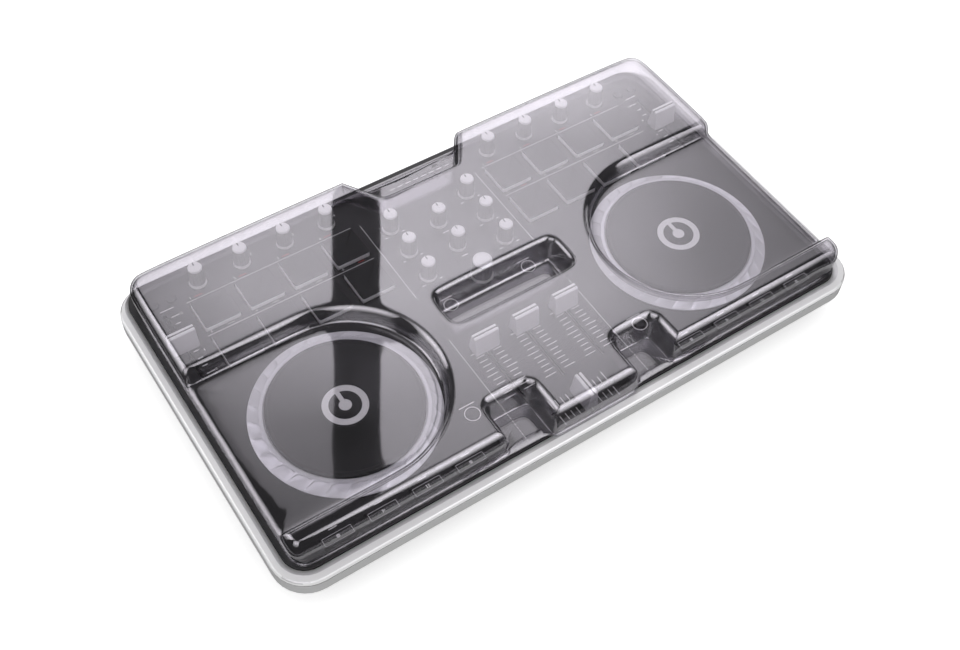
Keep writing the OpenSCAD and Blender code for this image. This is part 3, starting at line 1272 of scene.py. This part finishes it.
        across, deep = self.pocket_half
        pocket = rectangle((-across, self.pocket_y - deep), (across, self.pocket_y + deep),
                           self.pocket_round, Outline.step, Outline.least)
        piece.add(swept([pocket.loop(s, z) for s, z in self.pocket_rings], capped=True))

        mesh = piece.mesh
        bmesh.ops.remove_doubles(mesh, verts=mesh.verts, dist=self.weld)
        self._close_top(mesh)
        self._notch_floors(mesh, foot)
        bmesh.ops.remove_doubles(mesh, verts=mesh.verts, dist=self.weld)
        self._flare(mesh)
        bmesh.ops.recalc_face_normals(mesh, faces=mesh.faces)
        flat = max(mesh.faces, key=lambda f: f.calc_center_median().z)
        if flat.normal.z < 0:
            bmesh.ops.reverse_faces(mesh, faces=mesh.faces)
        piece.finish()

    def _close_top(self, mesh: bmesh.types.BMesh) -> None:
        """Fills the flat top between its edge and the pocket's.

        Args:
            mesh: the cover's mesh.
        """
        height = self.top_rings[-1][1] - self.weld
        rims = [e for e in mesh.edges if e.is_boundary and min(v.co.z for v in e.verts) > height]
        bmesh.ops.triangle_fill(mesh, use_beauty=True, use_dissolve=False, edges=rims, normal=(0, 0, 1))

    def _notch_floors(self, mesh: bmesh.types.BMesh, foot: Outline) -> None:
        """Lays the flat floors of the front notches and the back notch.

        Args:
            mesh: the cover's mesh.
            foot: the foot's outer edge.
        """
        edge = foot.loop(0, self.foot_rings[0][1])
        near, far = self.notch_floor_x
        ahead, behind = self.notch_floor_y
        right = [p for p in edge if near < p.x < far and ahead < p.y < behind]
        left = [p for p in edge if near < -p.x < far and ahead < p.y < behind]
        back = [p for p in edge if abs(p.x) < self.back_floor_x and p.y > self.back_floor_y]
        for points in (right, left, back):
            floor = mesh.faces.new([mesh.verts.new(p) for p in points])
            bmesh.ops.inset_individual(mesh, faces=[floor], thickness=self.floor_rim, use_even_offset=True)

    def _flare(self, mesh: bmesh.types.BMesh) -> None:
        """Lets the side and back walls lean out over the silver band, above the foot.

        Args:
            mesh: the cover's mesh.
        """
        base = self.foot_rings[0][1]
        for vert in mesh.verts:
            rise = min(1.0, max(0.0, (vert.co.z - base) / self.flare_rise))
            out = min(1.0, max(0.0, (abs(vert.co.x) - self.flare_from[0]) / self.flare_run[0]))
            aft = min(1.0, max(0.0, (vert.co.y - self.flare_from[1]) / self.flare_run[1]))
            vert.co.x += math.copysign(self.flare[0] * rise * out, vert.co.x)
            vert.co.y += self.flare[1] * rise * aft


# ---------------------------------------------------------------- body


@dataclass
class SilverRim:
    """The silver band round the body, with its seam and its skirt; the side below the seam and the inner
    slope take darker copies of its silver, as painted shade.

    Each tuple of rings is a profile of (inset, height) points.
    """

    radius: float = 25.0
    inner_radius: float = 17.0
    opening_x: float = 228.6
    opening_front: float = -125.3
    opening_back: float = 133.1
    outer_rings: tuple = (
        (2.6, 24.0), (2.6, 20.0), (0.7, 20.0), (0.2, 20.2), (0, 20.7), (0, 30.2), (0.12, 30.32), (0.5, 30.35),
        (0.5, 31.1), (0.12, 31.13), (0, 31.25), (0.05, 31.9), (0.32, 32.8), (0.85, 33.55), (1.5, 33.95),
    )
    inner_rings: tuple = ((-0.35, 32.6), (-0.05, 32.4), (0, 32.0), (0, 24.0))
    crest: float = 34.0
    crest_insets: tuple = (1.5, -0.35)
    crest_shares: tuple = (0.3, 0.55)
    seam_z: float = 31.12
    groove_z: float = 30.33
    shaded_slope_z: tuple = (32.5, 33.9)
    shaded_slope_sides: float = 5.5
    shaded_slope_front: float = 6.0
    shaded_slope_back: float = 1.2

    def build(self) -> None:
        """Makes the band."""
        low, high = span("side_rim")
        outer = rectangle((low.x, low.y), (high.x, high.y), self.radius)
        inner = rectangle((-self.opening_x, self.opening_front), (self.opening_x, self.opening_back),
                          self.inner_radius)
        loops = [outer.loop(s, z) for s, z in self.outer_rings]
        near = outer.loop(self.crest_insets[0], self.crest)
        far = inner.loop(self.crest_insets[1], self.crest)
        loops += [[a.lerp(b, share) for a, b in zip(near, far)] for share in self.crest_shares]
        loops += [inner.loop(s, z) for s, z in self.inner_rings]
        finishes = (SILVER_RIM, SILVER_SLOPE_SHADE, SILVER_SIDE_SHADE, CASE_BLACK)
        piece = Piece("silver_band", "chassis", "silver_rim", finishes, ("side_rim",), 12.0)
        band = swept(loops, closed=True)
        for face in band.faces:
            face.material_index = piece.number(self.stretch_finish(face.calc_center_median()))
        piece.add(band)
        piece.finish()

    def stretch_finish(self, spot: Vector) -> Finish:
        """The finish of the band's stretch at a point.

        Args:
            spot: the point.

        Returns:
            The painted shade of the slope or of the side, the seam's finish, or the top's finish.
        """
        beside = abs(spot.x) < self.opening_x + self.shaded_slope_sides
        between = self.opening_front - self.shaded_slope_front < spot.y < self.opening_back + self.shaded_slope_back
        # The inner slope by the cover's foot gets the darker silver: painted shade.
        if self.shaded_slope_z[0] < spot.z < self.shaded_slope_z[1] and beside and between:
            return SILVER_SLOPE_SHADE
        if spot.z >= self.seam_z:
            return SILVER_RIM
        # Below the groove, the side's darker silver is painted shade.
        return SILVER_SIDE_SHADE if spot.z < self.groove_z else CASE_BLACK


@dataclass
class Housing:
    """The CAD parts whose shape stays, each with its own finish."""

    dress_map: tuple = (
        (PANEL_BLACK, ("upper_case",)),
        (CASE_BLACK, ("lower_case", "tact_switches", "jack_sockets")),
        (PLATE_PALE, ("name_strip",)),
        (BoardLacquer(), ("main_board", "jog_sensor_boards")),
        (STEEL, ("jog_axles", "knob_pots", "fader_bodies", "usb_socket", "jack_nuts",
                 "case_screws", "board_screws")),
        (BRASS, ("rca_sockets",)),
        (RUBBER, ("rubber_feet",)),
        (RibbonSheath(), ("ribbon_cables",)),
    )

    def dress(self) -> None:
        """Gives every kept CAD part its finish."""
        for finish, nodes in self.dress_map:
            for node in nodes:
                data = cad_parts[node].data
                data.materials.clear()
                data.materials.append(finish.material())
                log.info("%s: dressed in %s", node, finish.name)


@dataclass(frozen=True)
class Ladder:
    """Ticks along a fader's slot, numbered first to last, with a long one every few."""

    first: int
    last: int
    step: float
    near: float
    short: float
    long: float
    every: int

    def ticks(self) -> list:
        """The ladder's ticks.

        Returns:
            Each tick's place along the slot and the distance at which it ends.
        """
        numbers = range(self.first, self.last + 1)
        return [(self.step * i, self.long if i % self.every == 0 else self.short) for i in numbers]


@dataclass
class PanelPrint:
    """Printed lines, ladders, rings and numbers on the panel."""

    z: float = 34.5
    thick: float = 0.05
    line: float = 0.6
    line_ladder: Ladder = Ladder(0, 10, -4.25, 3.6, 10.2, 12.4, 5)
    line_start: float = -1.6
    cross_ladder: Ladder = Ladder(-5, 5, 4.5, 3.4, 9.0, 11.2, 5)
    pitch_ladder: Ladder = Ladder(-4, 4, 7.0, 3.5, 7.5, 9.5, 4)
    divider_x: float = 51.5
    divider_runs: tuple = ((-86.0, -24.0), (20.0, 100.0))
    dash_count: int = 12
    dash_start: float = -121.0
    dash_pitch: float = 2.9
    dash_length: float = 1.6
    deck_x: tuple = (58.5, 192.0)
    deck_lines: tuple = (67.9, 101.9)
    pad_x: float = 72.4
    pad_pitch: float = 34.95
    key_x: float = 92.8
    key_pitch: float = 33.0
    tone_x: float = 33.6
    tone_ys: tuple = (85.1, 58.9, 32.3)
    gain_ys: tuple = (71.6, 45.2)
    scratch_at: tuple = (71.0, -83.5)
    load_at: tuple = (33.6, 1.7)
    bend_at: tuple = (206.2, 103.7)
    pitch_number_x: float = 199.0
    pitch_number_y: float = 96.0
    pitch_number_step: float = 18.6
    back_number: tuple = (-10.5, 104.4)
    back_dash: tuple = (-4.5, 104.25)
    front_number: tuple = (-10.5, 70.2)
    front_dash: tuple = (4.5, 70.1)
    knob_number: tuple = (9.6, 119.0)
    key_dash_y: float = -107.3
    scratch_dash: float = 7.65
    load_dash: float = 6.8
    gain_dash: float = -10.1
    dot_circle: float = 8.6
    dot_turn: float = 27.0
    end_circle: float = 9.6
    end_turns: tuple = (-38.0, -142.0)
    strip_dashes: tuple = (-11.8, 7.0, 8, 118.95)

    def strip(self, x0: float, y0: float, x1: float, y1: float, ink: Finish = INK_WHITE) -> None:
        """A printed bar between two corners."""
        self.piece.add(block((x0, y0, self.z), (x1, y1, self.z + self.thick)), ink)

    def across(self, x0: float, x1: float, y: float, ink: Finish = INK_WHITE) -> None:
        """A printed line along X."""
        self.strip(x0, y - self.line / 2, x1, y + self.line / 2, ink)

    def along(self, x: float, y0: float, y1: float, ink: Finish = INK_WHITE) -> None:
        """A printed line along Y."""
        self.strip(x - self.line / 2, y0, x + self.line / 2, y1, ink)

    def dash(self, spot: tuple, length: float, height: float = 0.6, ink: Finish = INK_WHITE) -> None:
        """A short bar centred on a point.

        Args:
            spot: the point, as (x, y).
            length: its size along X.
            height: its size along Y.
            ink: its finish.
        """
        x, y = spot
        self.strip(x - length / 2, y - height / 2, x + length / 2, y + height / 2, ink)

    def ring(self, spot: tuple, radius: float) -> None:
        """A printed circle.

        Args:
            spot: its centre, as (x, y).
            radius: the radius of its line.
        """
        near, far = radius - self.line / 2, radius + self.line / 2
        top = self.z + self.thick
        profile = [(near, self.z), (far, self.z), (far, top), (near, top), (near, self.z)]
        self.piece.add(turned(profile, spot, 40), INK_WHITE)

    def number(self, text: str, spot: tuple, height: float) -> None:
        """A printed number.

        Args:
            text: its digits.
            spot: its centre, as (x, y).
            height: the height of a digit.
        """
        curve = bpy.data.curves.new("number", "FONT")
        curve.body = text
        curve.size = height * 1.4
        curve.align_x = curve.align_y = "CENTER"
        curve.extrude = self.thick / 2
        curve.resolution_u = 2
        holder = bpy.data.objects.new("number", curve)
        shape = holder.to_mesh()
        part = bmesh.new()
        part.from_mesh(shape)
        holder.to_mesh_clear()
        bpy.data.objects.remove(holder)
        bpy.data.curves.remove(curve)
        bmesh.ops.remove_doubles(part, verts=part.verts, dist=TOUCH)
        bmesh.ops.translate(part, vec=(*spot, self.z + self.thick / 2), verts=part.verts)
        self.piece.add(part, INK_WHITE)

    def ladder(self, ladder: Ladder, start: tuple, ways: tuple, upright: bool = False) -> None:
        """Prints a ladder of ticks beside a slot.

        Args:
            ladder: the ladder.
            start: the point on the slot that it is measured from, as (x, y).
            ways: the sides of the slot, -1 or 1.
            upright: whether its ticks run along Y.
        """
        x, y = start
        for place, reach in ladder.ticks():
            for way in ways:
                near, far = sorted((way * ladder.near, way * reach))
                if upright:
                    self.along(x + place, y + near, y + far)
                else:
                    self.across(x + near, x + far, y + place)

    def ladders(self) -> None:
        """Prints the ladders of all six faders."""
        for number in (1, 2, 3):
            x, y = middle(f"line_fader_{number}")
            self.ladder(self.line_ladder, (x, y + self.line_start), (-1, 1))
        self.ladder(self.cross_ladder, middle("crossfader"), (-1, 1), upright=True)
        self.ladder(self.pitch_ladder, middle("left_pitch_fader"), (1,))
        self.ladder(self.pitch_ladder, middle("right_pitch_fader"), (-1,))

    def dividers(self, way: int) -> None:
        """Lines between the mixer and a deck, and between its pad rows.

        Args:
            way: the side, -1 or 1.
        """
        for y0, y1 in self.divider_runs:
            self.along(way * self.divider_x, y0, y1, INK_GREY)
        for i in range(self.dash_count):
            y = self.dash_start + self.dash_pitch * i
            self.along(way * self.divider_x, y, y + self.dash_length, INK_GREY)
        x0, x1 = sorted(way * x for x in self.deck_x)
        for y in self.deck_lines:
            self.across(x0, x1, y, INK_GREY)

    def deck_labels(self, way: int) -> None:
        """Small numbers and bare dashes by a deck's knobs, pads and keys.

        Args:
            way: the side, -1 or 1.
        """
        for i in range(4):
            x = way * (self.pad_x + self.pad_pitch * i)
            place = i + 1 if way > 0 else 4 - i
            back, red, front, grey, knob = (
                (x + aside, y) for aside, y in (
                    self.back_number, self.back_dash, self.front_number, self.front_dash, self.knob_number
                )
            )
            self.number(str(place), back, 2.4)
            self.dash(red, 6.0, 0.7, INK_RED)
            self.number(str(place + 4), front, 2.0)
            self.dash(grey, 5.0, ink=INK_RED if i == 0 else INK_GREY)
            self.dash((way * (self.key_x + self.key_pitch * i), self.key_dash_y), 6.0)
            self.number(str(place), knob, 2.2)

    def knob_dots(self, way: int) -> None:
        """A scale of dots round each tone knob, with a dash at each end of its turn.

        Args:
            way: the side, -1 or 1.
        """
        for y in self.tone_ys:
            for k in range(-5, 6):
                self.dash(self.round_knob(way, y, self.dot_circle, 90 + self.dot_turn * k), 0.5, 0.5)
            for degrees in self.end_turns:
                self.dash(self.round_knob(way, y, self.end_circle, degrees), 2.2)

    def round_knob(self, way: int, y: float, radius: float, degrees: float) -> tuple[float, float]:
        """A point round a tone knob."""
        a = math.radians(degrees)
        return way * self.tone_x + radius * math.cos(a), y + radius * math.sin(a)

    def key_marks(self, way: int) -> None:
        """Rings and dashes by a deck's round keys, and numbers beside its pitch fader.

        Args:
            way: the side, -1 or 1.
        """
        scratch, load, bend = ((way * x, y) for x, y in (self.scratch_at, self.load_at, self.bend_at))
        self.ring(scratch, 5.4)
        self.ring(load, 5.2)
        self.dash((scratch[0], scratch[1] + self.scratch_dash), 12.0, 0.7)
        self.dash((load[0], load[1] + self.load_dash), 10.0)
        self.dash(bend, 10.0)
        for k, text in enumerate(("12", "8", "4", "0")):
            y = self.pitch_number_y - self.pitch_number_step * k
            self.number(text, (way * self.pitch_number_x, y), 2.0)

    def build(self) -> None:
        """Prints the panel."""
        self.piece = Piece("panel_print", "chassis", "black_panel", (INK_WHITE, INK_GREY, INK_RED))
        self.ladders()
        for way in (-1, 1):
            self.dividers(way)
        for way in (-1, 1):
            self.deck_labels(way)
            self.knob_dots(way)
            self.key_marks(way)
        for y in self.gain_ys:
            self.dash((0, y + self.gain_dash), 5.2)
        start, step, count, y = self.strip_dashes
        for i in range(count):
            self.dash((start + step * i, y), 4.4, 0.7)
        self.piece.finish()


# ---------------------------------------------------------------- controls


@dataclass
class JogWheel:
    """A jog wheel: a scooped silver grip ring round a black disc.

    The rings are (radius, height, dip, twist); the disc's are (inset, drop) from its rim and top.
    """

    side: str
    scoops: int = 30
    rings: tuple = (
        (64.7, 34.9, 0, 0), (65.4, 35.0, 0, 0), (65.7, 35.3, 0, 0), (65.7, 36.1, 0, 0), (65.2, 36.5, 0.9, 0),
        (63.4, 37.7, 2.1, 0.08), (61.4, 38.9, 2.5, 0.18), (59.6, 39.9, 2.0, 0.28), (58.4, 40.6, 0.8, 0.36),
        (57.6, 40.9, 0, 0.4), (57.0, 41.0, 0, 0.4), (55.2, 41.0, 0, 0.4), (54.7, 40.8, 0, 0.4),
        (54.5, 40.4, 0, 0.4), (54.5, 39.4, 0, 0.4), (4.1, 39.4, 0, 0.4), (4.1, 23.6, 0, 0.4),
        (8.0, 23.6, 0, 0.4), (8.0, 37.0, 0, 0.4), (62.0, 37.0, 0, 0), (63.4, 34.9, 0, 0),
    )
    disc_rim: tuple = ((0, 1.0), (0.15, 0.5), (0.5, 0.15), (1.0, 0), (2.4, 0), (2.8, 0.1), (3.0, 0.3))
    boss: tuple = (17.2, 17.4)
    boss_drop: float = 0.25
    mark_rings: tuple = ((11.2, 15.8), (0.0, 4.4))
    pointer: tuple = (1.6, 4.3, 11.3)
    mark_lift: float = 0.06

    def build(self) -> None:
        """Makes the ring and the disc."""
        low, high = span(f"{self.side}_jog_disc")
        centre = middle(f"{self.side}_jog_disc")
        body = f"{self.side}_jog_wheel"
        ring = Piece(f"{self.side}_grip_ring", body, "silver_ring", (SILVER_RING,),
                     (f"{self.side}_jog_ring",), 20.0)
        ring.add(wavy_turned(self.rings, centre, self.scoops, 8, True))
        ring.finish()
        radius, top = (high.x - low.x) / 2, high.z
        disc = Piece(f"{self.side}_platter", body, "black_disc", (DISC_BLACK, INK_WHITE),
                     (f"{self.side}_jog_disc",), 30.0)
        profile = [(0, low.z), (radius - 0.3, low.z), (radius, low.z + 0.3)]
        profile += [(radius - inset, top - drop) for inset, drop in self.disc_rim]
        face = top - self.boss_drop
        profile += [(self.boss[1], top - self.disc_rim[-1][1]), (self.boss[0], face), (0, face)]
        disc.add(turned(profile, centre, 128))
        self.mark(disc, centre, face)
        disc.finish()

    def mark(self, disc: Piece, centre: tuple, z: float) -> None:
        """A plain ring, dot and pointer at the disc's centre.

        Args:
            disc: the disc's piece.
            centre: the disc's centre, as (x, y).
            z: the height of its face.
        """
        low, high = z - self.mark_lift, z + self.mark_lift
        for inner, outer in self.mark_rings:
            profile = [(inner, high), (outer, high), (outer, low), (inner, low)]
            if inner:
                profile = [profile[-1], *profile]
            disc.add(turned(profile, centre, 64), INK_WHITE)
        x, y = centre
        half, start, end = self.pointer
        disc.add(block((x - half, y + start, low), (x + half, y + end, high)), INK_WHITE)


@dataclass
class TurnKnob:
    """A fluted knob with a wide foot and a white cap, which has a pointer or a ring; a band round the foot is
    painted pale as a painted highlight.
    """

    node: str
    ringed: bool = False
    shaft: float = 3.0
    skirt: float = 0.8
    base: float = 34.9
    flutes: int = 20
    cap_depth: float = 1.85
    foot_sheen_band: tuple = (0.4, 2.9)
    ring_radii: tuple = (5.3, 5.7)

    def build(self) -> None:
        """Makes the knob."""
        low, high = span(self.node)
        centre = middle(self.node)
        foot = (high.x - low.x) / 2
        grip = foot - self.skirt
        top = high.z - 0.15
        tip = grip - 0.6
        rings = [
            (0, low.z, 0, 0), (self.shaft, low.z, 0, 0), (self.shaft, self.base, 0, 0),
            (foot - 0.4, self.base, 0, 0), (foot, self.base + 0.35, 0, 0), (foot, self.base + 0.9, 0, 0),
            (foot - 0.25, self.base + 1.6, 0, 0), (grip + 0.1, self.base + 2.8, 0, 0),
            (grip, self.base + 3.3, 0.05, 0), (grip - 0.05, self.base + 4.0, 0.32, 0),
            (tip + 0.12, top - 3.4, 0.32, 0), (tip + 0.06, top - 2.4, 0.05, 0), (tip + 0.05, top - 2.0, 0, 0),
            (tip - 0.1, top - 1.95, 0, 0), (tip - 0.1, top - 1.75, 0, 0), (tip, top - 1.7, 0, 0),
            (tip, top - 0.9, 0, 0), (tip - 0.25, top - 0.35, 0, 0), (tip - 0.8, top - 0.05, 0, 0),
            (tip - 1.3, top, 0, 0), (0, top, 0, 0),
        ]
        piece = Piece(self.node.replace("knob", "dial"), self.node, "knob_plastic",
                      (GRIP_GREY, CAP_WHITE, KEY_BLACK, PALE_FOOT_SHEEN_AND_RING), (self.node,), 32.0)
        body = wavy_turned(rings, centre, self.flutes, 4, False)
        paint_top(body, top - self.cap_depth, piece.number(CAP_WHITE))
        # The band round the foot is painted pale: a painted highlight.
        band = [self.base + height for height in self.foot_sheen_band]
        for face in body.faces:
            if band[0] < face.calc_center_median().z < band[1]:
                face.material_index = piece.number(PALE_FOOT_SHEEN_AND_RING)
        piece.add(body)
        x, y = centre
        if self.ringed:
            near, far = self.ring_radii
            low_z, high_z = top - 0.05, top + 0.08
            profile = [(near, low_z), (near, high_z), (far, high_z), (far, low_z), (near, low_z)]
            piece.add(turned(profile, centre, 48), PALE_FOOT_SHEEN_AND_RING)
        else:
            pointer = block((x - 0.45, y + tip * 0.25, top - 0.1), (x + 0.45, y + tip * 0.8, high.z), 0.08, 1)
            piece.add(pointer, KEY_BLACK)
        piece.finish()


@dataclass
class FaderCap:
    """A tall fader cap with a grooved white top, standing on its stem.

    The flank is half of the cap's outline; a stem's sizes are its half width, half depth, top
    and rounding.
    """

    node: str
    turned_cap: bool = False
    flank: tuple = (
        (5.0, 35.0), (5.0, 36.4), (4.6, 38.6), (4.0, 42.0), (3.4, 46.0), (3.0, 49.4), (2.85, 50.4),
        (2.75, 51.3), (2.4, 51.85), (2.1, 51.9), (0.5, 51.9), (0.45, 51.2),
    )
    shortened: float = 0.4
    end_round: float = 0.28
    white_from: float = 50.9
    groove_from: float = 51.0
    groove_half: float = 0.6
    stems: tuple = ((0.8, 2.5, 35.2, 0.1), (2.3, 3.5, 29.4, 0.3))

    def build(self) -> None:
        """Makes the cap."""
        low, high = span(self.node)
        centre = (low + high) / 2
        piece = Piece(f"{self.node}_cap", self.node, "pale_plastic", (CAP_GREY, CAP_WHITE, KEY_BLACK),
                      (self.node,), 30.0)
        parts = bmesh.new()
        join(parts, self.cap(max(high.x - low.x, high.y - low.y) - self.shortened, piece))
        for across, deep, top, reach in self.stems:
            stem = block((-across, -deep, low.z), (across, deep, top), reach, 1)
            join(parts, stem, piece.number(KEY_BLACK))
        turn = Matrix.Rotation(math.pi / 2 if self.turned_cap else 0.0, 4, "Z")
        place = Matrix.Translation((centre.x, centre.y, 0)) @ turn
        bmesh.ops.transform(parts, matrix=place, verts=parts.verts)
        piece.add(parts)
        piece.finish()

    def cap(self, length: float, piece: Piece) -> bmesh.types.BMesh:
        """The cap itself, along X over the origin.

        Args:
            length: its length.
            piece: the piece whose finishes it gets.

        Returns:
            The cap's mesh.
        """
        profile = [*self.flank, *((-x, z) for x, z in reversed(self.flank))]
        upright = Matrix.Rotation(math.pi / 2, 4, "Z") @ Matrix.Rotation(math.pi / 2, 4, "X")
        cap = extruded(profile, length, upright)
        bmesh.ops.translate(cap, vec=(-length / 2, 0, 0), verts=cap.verts)
        ends = [e for e in cap.edges if all(abs(abs(v.co.x) - length / 2) < 0.01 for v in e.verts)
                and abs(e.verts[0].co.x - e.verts[1].co.x) < 0.01]
        round_edges(cap, ends, self.end_round, 2)
        paint_top(cap, self.white_from, piece.number(CAP_WHITE))
        for face in cap.faces:
            spot = face.calc_center_median()
            if spot.z > self.groove_from and abs(spot.y) < self.groove_half:
                face.material_index = piece.number(KEY_BLACK)
        return cap


@dataclass
class KeyRow:
    """A row of four keys, each with a lip that stays under the panel and a stem to its switch."""

    node: str
    pitch: float = 34.95
    lip: float = 1.2
    lip_z: tuple = (29.8, 31.1)
    lip_round: float = 0.3
    key_z: float = 29.9
    stem_radius: float = 2.0

    def lay_out(self) -> tuple[list, float, float]:
        """Where the keys stand.

        Returns:
            The keys' centres, and half of a key's width and depth.
        """
        low, high = span(self.node)
        across = (high.x - low.x - 3 * self.pitch) / 2 - self.lip
        deep = (high.y - low.y) / 2 - self.lip
        y = (low.y + high.y) / 2
        return [(low.x + self.lip + across + i * self.pitch, y) for i in range(4)], across, deep

    def key(self, centre: tuple, half: tuple, top: float, corner: tuple, rim: tuple) -> bmesh.types.BMesh:
        """A key with rounded corners and a rounded top edge.

        Args:
            centre: its centre, as (x, y).
            half: half of its width and depth.
            top: the height of its face.
            corner: the reach and segments of its upright edges.
            rim: the reach and segments of its top edge.

        Returns:
            The key's mesh.
        """
        x, y = centre
        part = block((x - half[0], y - half[1], self.key_z), (x + half[0], y + half[1], top))
        round_edges(part, [e for e in part.edges if abs(e.verts[0].co.z - e.verts[1].co.z) > 1], *corner)
        round_edges(part, [e for e in part.edges if min(v.co.z for v in e.verts) > top - 0.01], *rim)
        return part

    def hold(self, piece: Piece, centre: tuple, half: tuple, finish: Finish) -> None:
        """Adds a key's lip and stem.

        Args:
            piece: the row's piece.
            centre: the key's centre, as (x, y).
            half: half of the key's width and depth.
            finish: the finish of the lip and the stem.
        """
        x, y = centre
        across, deep = half[0] + self.lip, half[1] + self.lip
        low, high = (x - across, y - deep, self.lip_z[0]), (x + across, y + deep, self.lip_z[1])
        piece.add(block(low, high, self.lip_round, 1), finish)
        bottom = span(self.node)[0].z
        profile = [(0, bottom), (self.stem_radius, bottom), (self.stem_radius, self.key_z), (0, self.key_z)]
        piece.add(turned(profile, centre, 20), finish)


@dataclass
class PadRow(KeyRow):
    """Four rubber pads with pale side walls and black, slightly sunk tops."""

    inset: float = 1.4
    sunk: float = 0.12
    black_depth: float = 0.35

    def build(self) -> None:
        """Makes the row."""
        piece = Piece(self.node.replace("pads", "pad_row"), self.node, "pad_rubber", (PAD_BLACK, PAD_SIDE),
                      (self.node,), 50.0)
        top = span(self.node)[1].z
        centres, *half = self.lay_out()
        for centre in centres:
            pad = self.key(centre, half, top, (1.8, 4), (0.9, 3))
            face = max(pad.faces, key=lambda f: f.calc_center_median().z)
            bmesh.ops.inset_region(pad, faces=[face], thickness=self.inset, depth=-self.sunk)
            for face in pad.faces:
                face.material_index = piece.number(PAD_SIDE)
            paint_top(pad, top - self.black_depth, piece.number(PAD_BLACK))
            piece.add(pad)
            self.hold(piece, centre, half, PAD_SIDE)
        piece.finish()


class Sign(Enum):
    """Plain signs on the transport keys, each a tuple of flat outlines."""

    ARROW = (((-1.2, -1.3), (1.3, 0), (-1.2, 1.3)),)
    BARS = (
        ((-1.2, -1.3), (-0.4, -1.3), (-0.4, 1.3), (-1.2, 1.3)),
        ((0.4, -1.3), (1.2, -1.3), (1.2, 1.3), (0.4, 1.3)),
    )
    DOT = (tuple((1.3 * math.cos(k * math.tau / 16), 1.3 * math.sin(k * math.tau / 16)) for k in range(16)),)
    SQUARE = (((-1.1, -1.1), (1.1, -1.1), (1.1, 1.1), (-1.1, 1.1)),)


@dataclass
class TransportRow(KeyRow):
    """Four flat transport keys with a pale outline and a plain sign each."""

    pitch: float = 33.0
    print_z: float = 0.06
    margin: float = 0.95
    outline_width: float = 0.3
    outline_round: float = 0.8
    sunk: float = 0.02
    signs: tuple = (Sign.DOT, Sign.ARROW, Sign.BARS, Sign.SQUARE)

    def build(self) -> None:
        """Makes the row."""
        piece = Piece(self.node.replace("buttons", "row"), self.node, "button_plastic",
                      (KEY_BLACK, INK_WHITE), (self.node,), 40.0)
        top = span(self.node)[1].z - self.print_z
        centres, *half = self.lay_out()
        for centre, sign in zip(centres, self.signs):
            piece.add(self.key(centre, half, top, (1.2, 3), (0.45, 2)))
            self.outline(piece, centre, half, top)
            place = Matrix.Translation((*centre, top - self.sunk))
            for shape in sign.value:
                piece.add(extruded(shape, self.print_z, place), INK_WHITE)
            self.hold(piece, centre, half, KEY_BLACK)
        piece.finish()

    def outline(self, piece: Piece, centre: tuple, half: tuple, top: float) -> None:
        """Adds a pale line round a key's face.

        Args:
            piece: the row's piece.
            centre: the key's centre, as (x, y).
            half: half of the key's width and depth.
            top: the height of the key's face.
        """
        x, y = centre
        across, deep = half[0] - self.margin, half[1] - self.margin
        border = rectangle((x - across, y - deep), (x + across, y + deep), self.outline_round, 30)
        low, high = top - self.sunk, top - self.sunk + self.print_z
        rings = ((0, low), (0, high), (self.outline_width, high), (self.outline_width, low))
        piece.add(swept([border.loop(s, z) for s, z in rings], closed=True), INK_WHITE)


@dataclass
class RoundKeys:
    """One small round key with a dished top, or a pair of them."""

    node: str
    radius: float = 3.6
    dish: tuple = ((0, 0.4), (0.12, 0.12), (0.45, 0), (0.8, 0.02), (1.4, 0.25), (2.4, 0.38))

    def build(self) -> None:
        """Makes the keys of one node."""
        low, high = span(self.node)
        lip = (high.y - low.y) / 2
        y = (low.y + high.y) / 2
        xs = sorted({round(low.x + lip, 3), round(high.x - lip, 3)})
        if xs[-1] - xs[0] < 1:
            xs = [(low.x + high.x) / 2]
        piece = Piece(f"{self.node}_key", self.node, "button_plastic", (KEY_BLACK,), (self.node,), 40.0)
        profile = [(0, low.z), (2.0, low.z), (2.0, 29.8), (lip - 0.2, 29.8), (lip, 30.0), (lip, 30.9),
                   (lip - 0.2, 31.1), (self.radius, 31.1)]
        profile += [(self.radius - inset, high.z - drop) for inset, drop in self.dish]
        profile.append((0, high.z - 0.42))
        for x in xs:
            piece.add(turned(profile, (x, y), 40))
        piece.finish()


def main() -> None:
    """Builds the studio and every piece of the controller."""
    logging.basicConfig(level=logging.INFO, format="%(name)s %(message)s")
    Studio().build()
    Housing().dress()
    SilverRim().build()
    PanelPrint().build()
    for side in ("left", "right"):
        JogWheel(side).build()
        for i in range(4):
            TurnKnob(f"{side}_fx_knob_{i + 1}").build()
        for i in range(3):
            TurnKnob(f"{side}_eq_knob_{i + 1}").build()
        for row in ("back", "front"):
            PadRow(f"{side}_{row}_pads").build()
        TransportRow(f"{side}_transport_buttons").build()
        for key in ("scratch_button", "load_button", "bend_buttons"):
            RoundKeys(f"{side}_{key}").build()
        FaderCap(f"{side}_pitch_fader").build()
    for node in ("gain_knob_1", "gain_knob_2"):
        TurnKnob(node).build()
    TurnKnob("browse_knob", ringed=True).build()
    for i in range(3):
        FaderCap(f"line_fader_{i + 1}").build()
    FaderCap("crossfader", turned_cap=True).build()
    ClearCover().build()


if __name__ == "__main__":
    main()
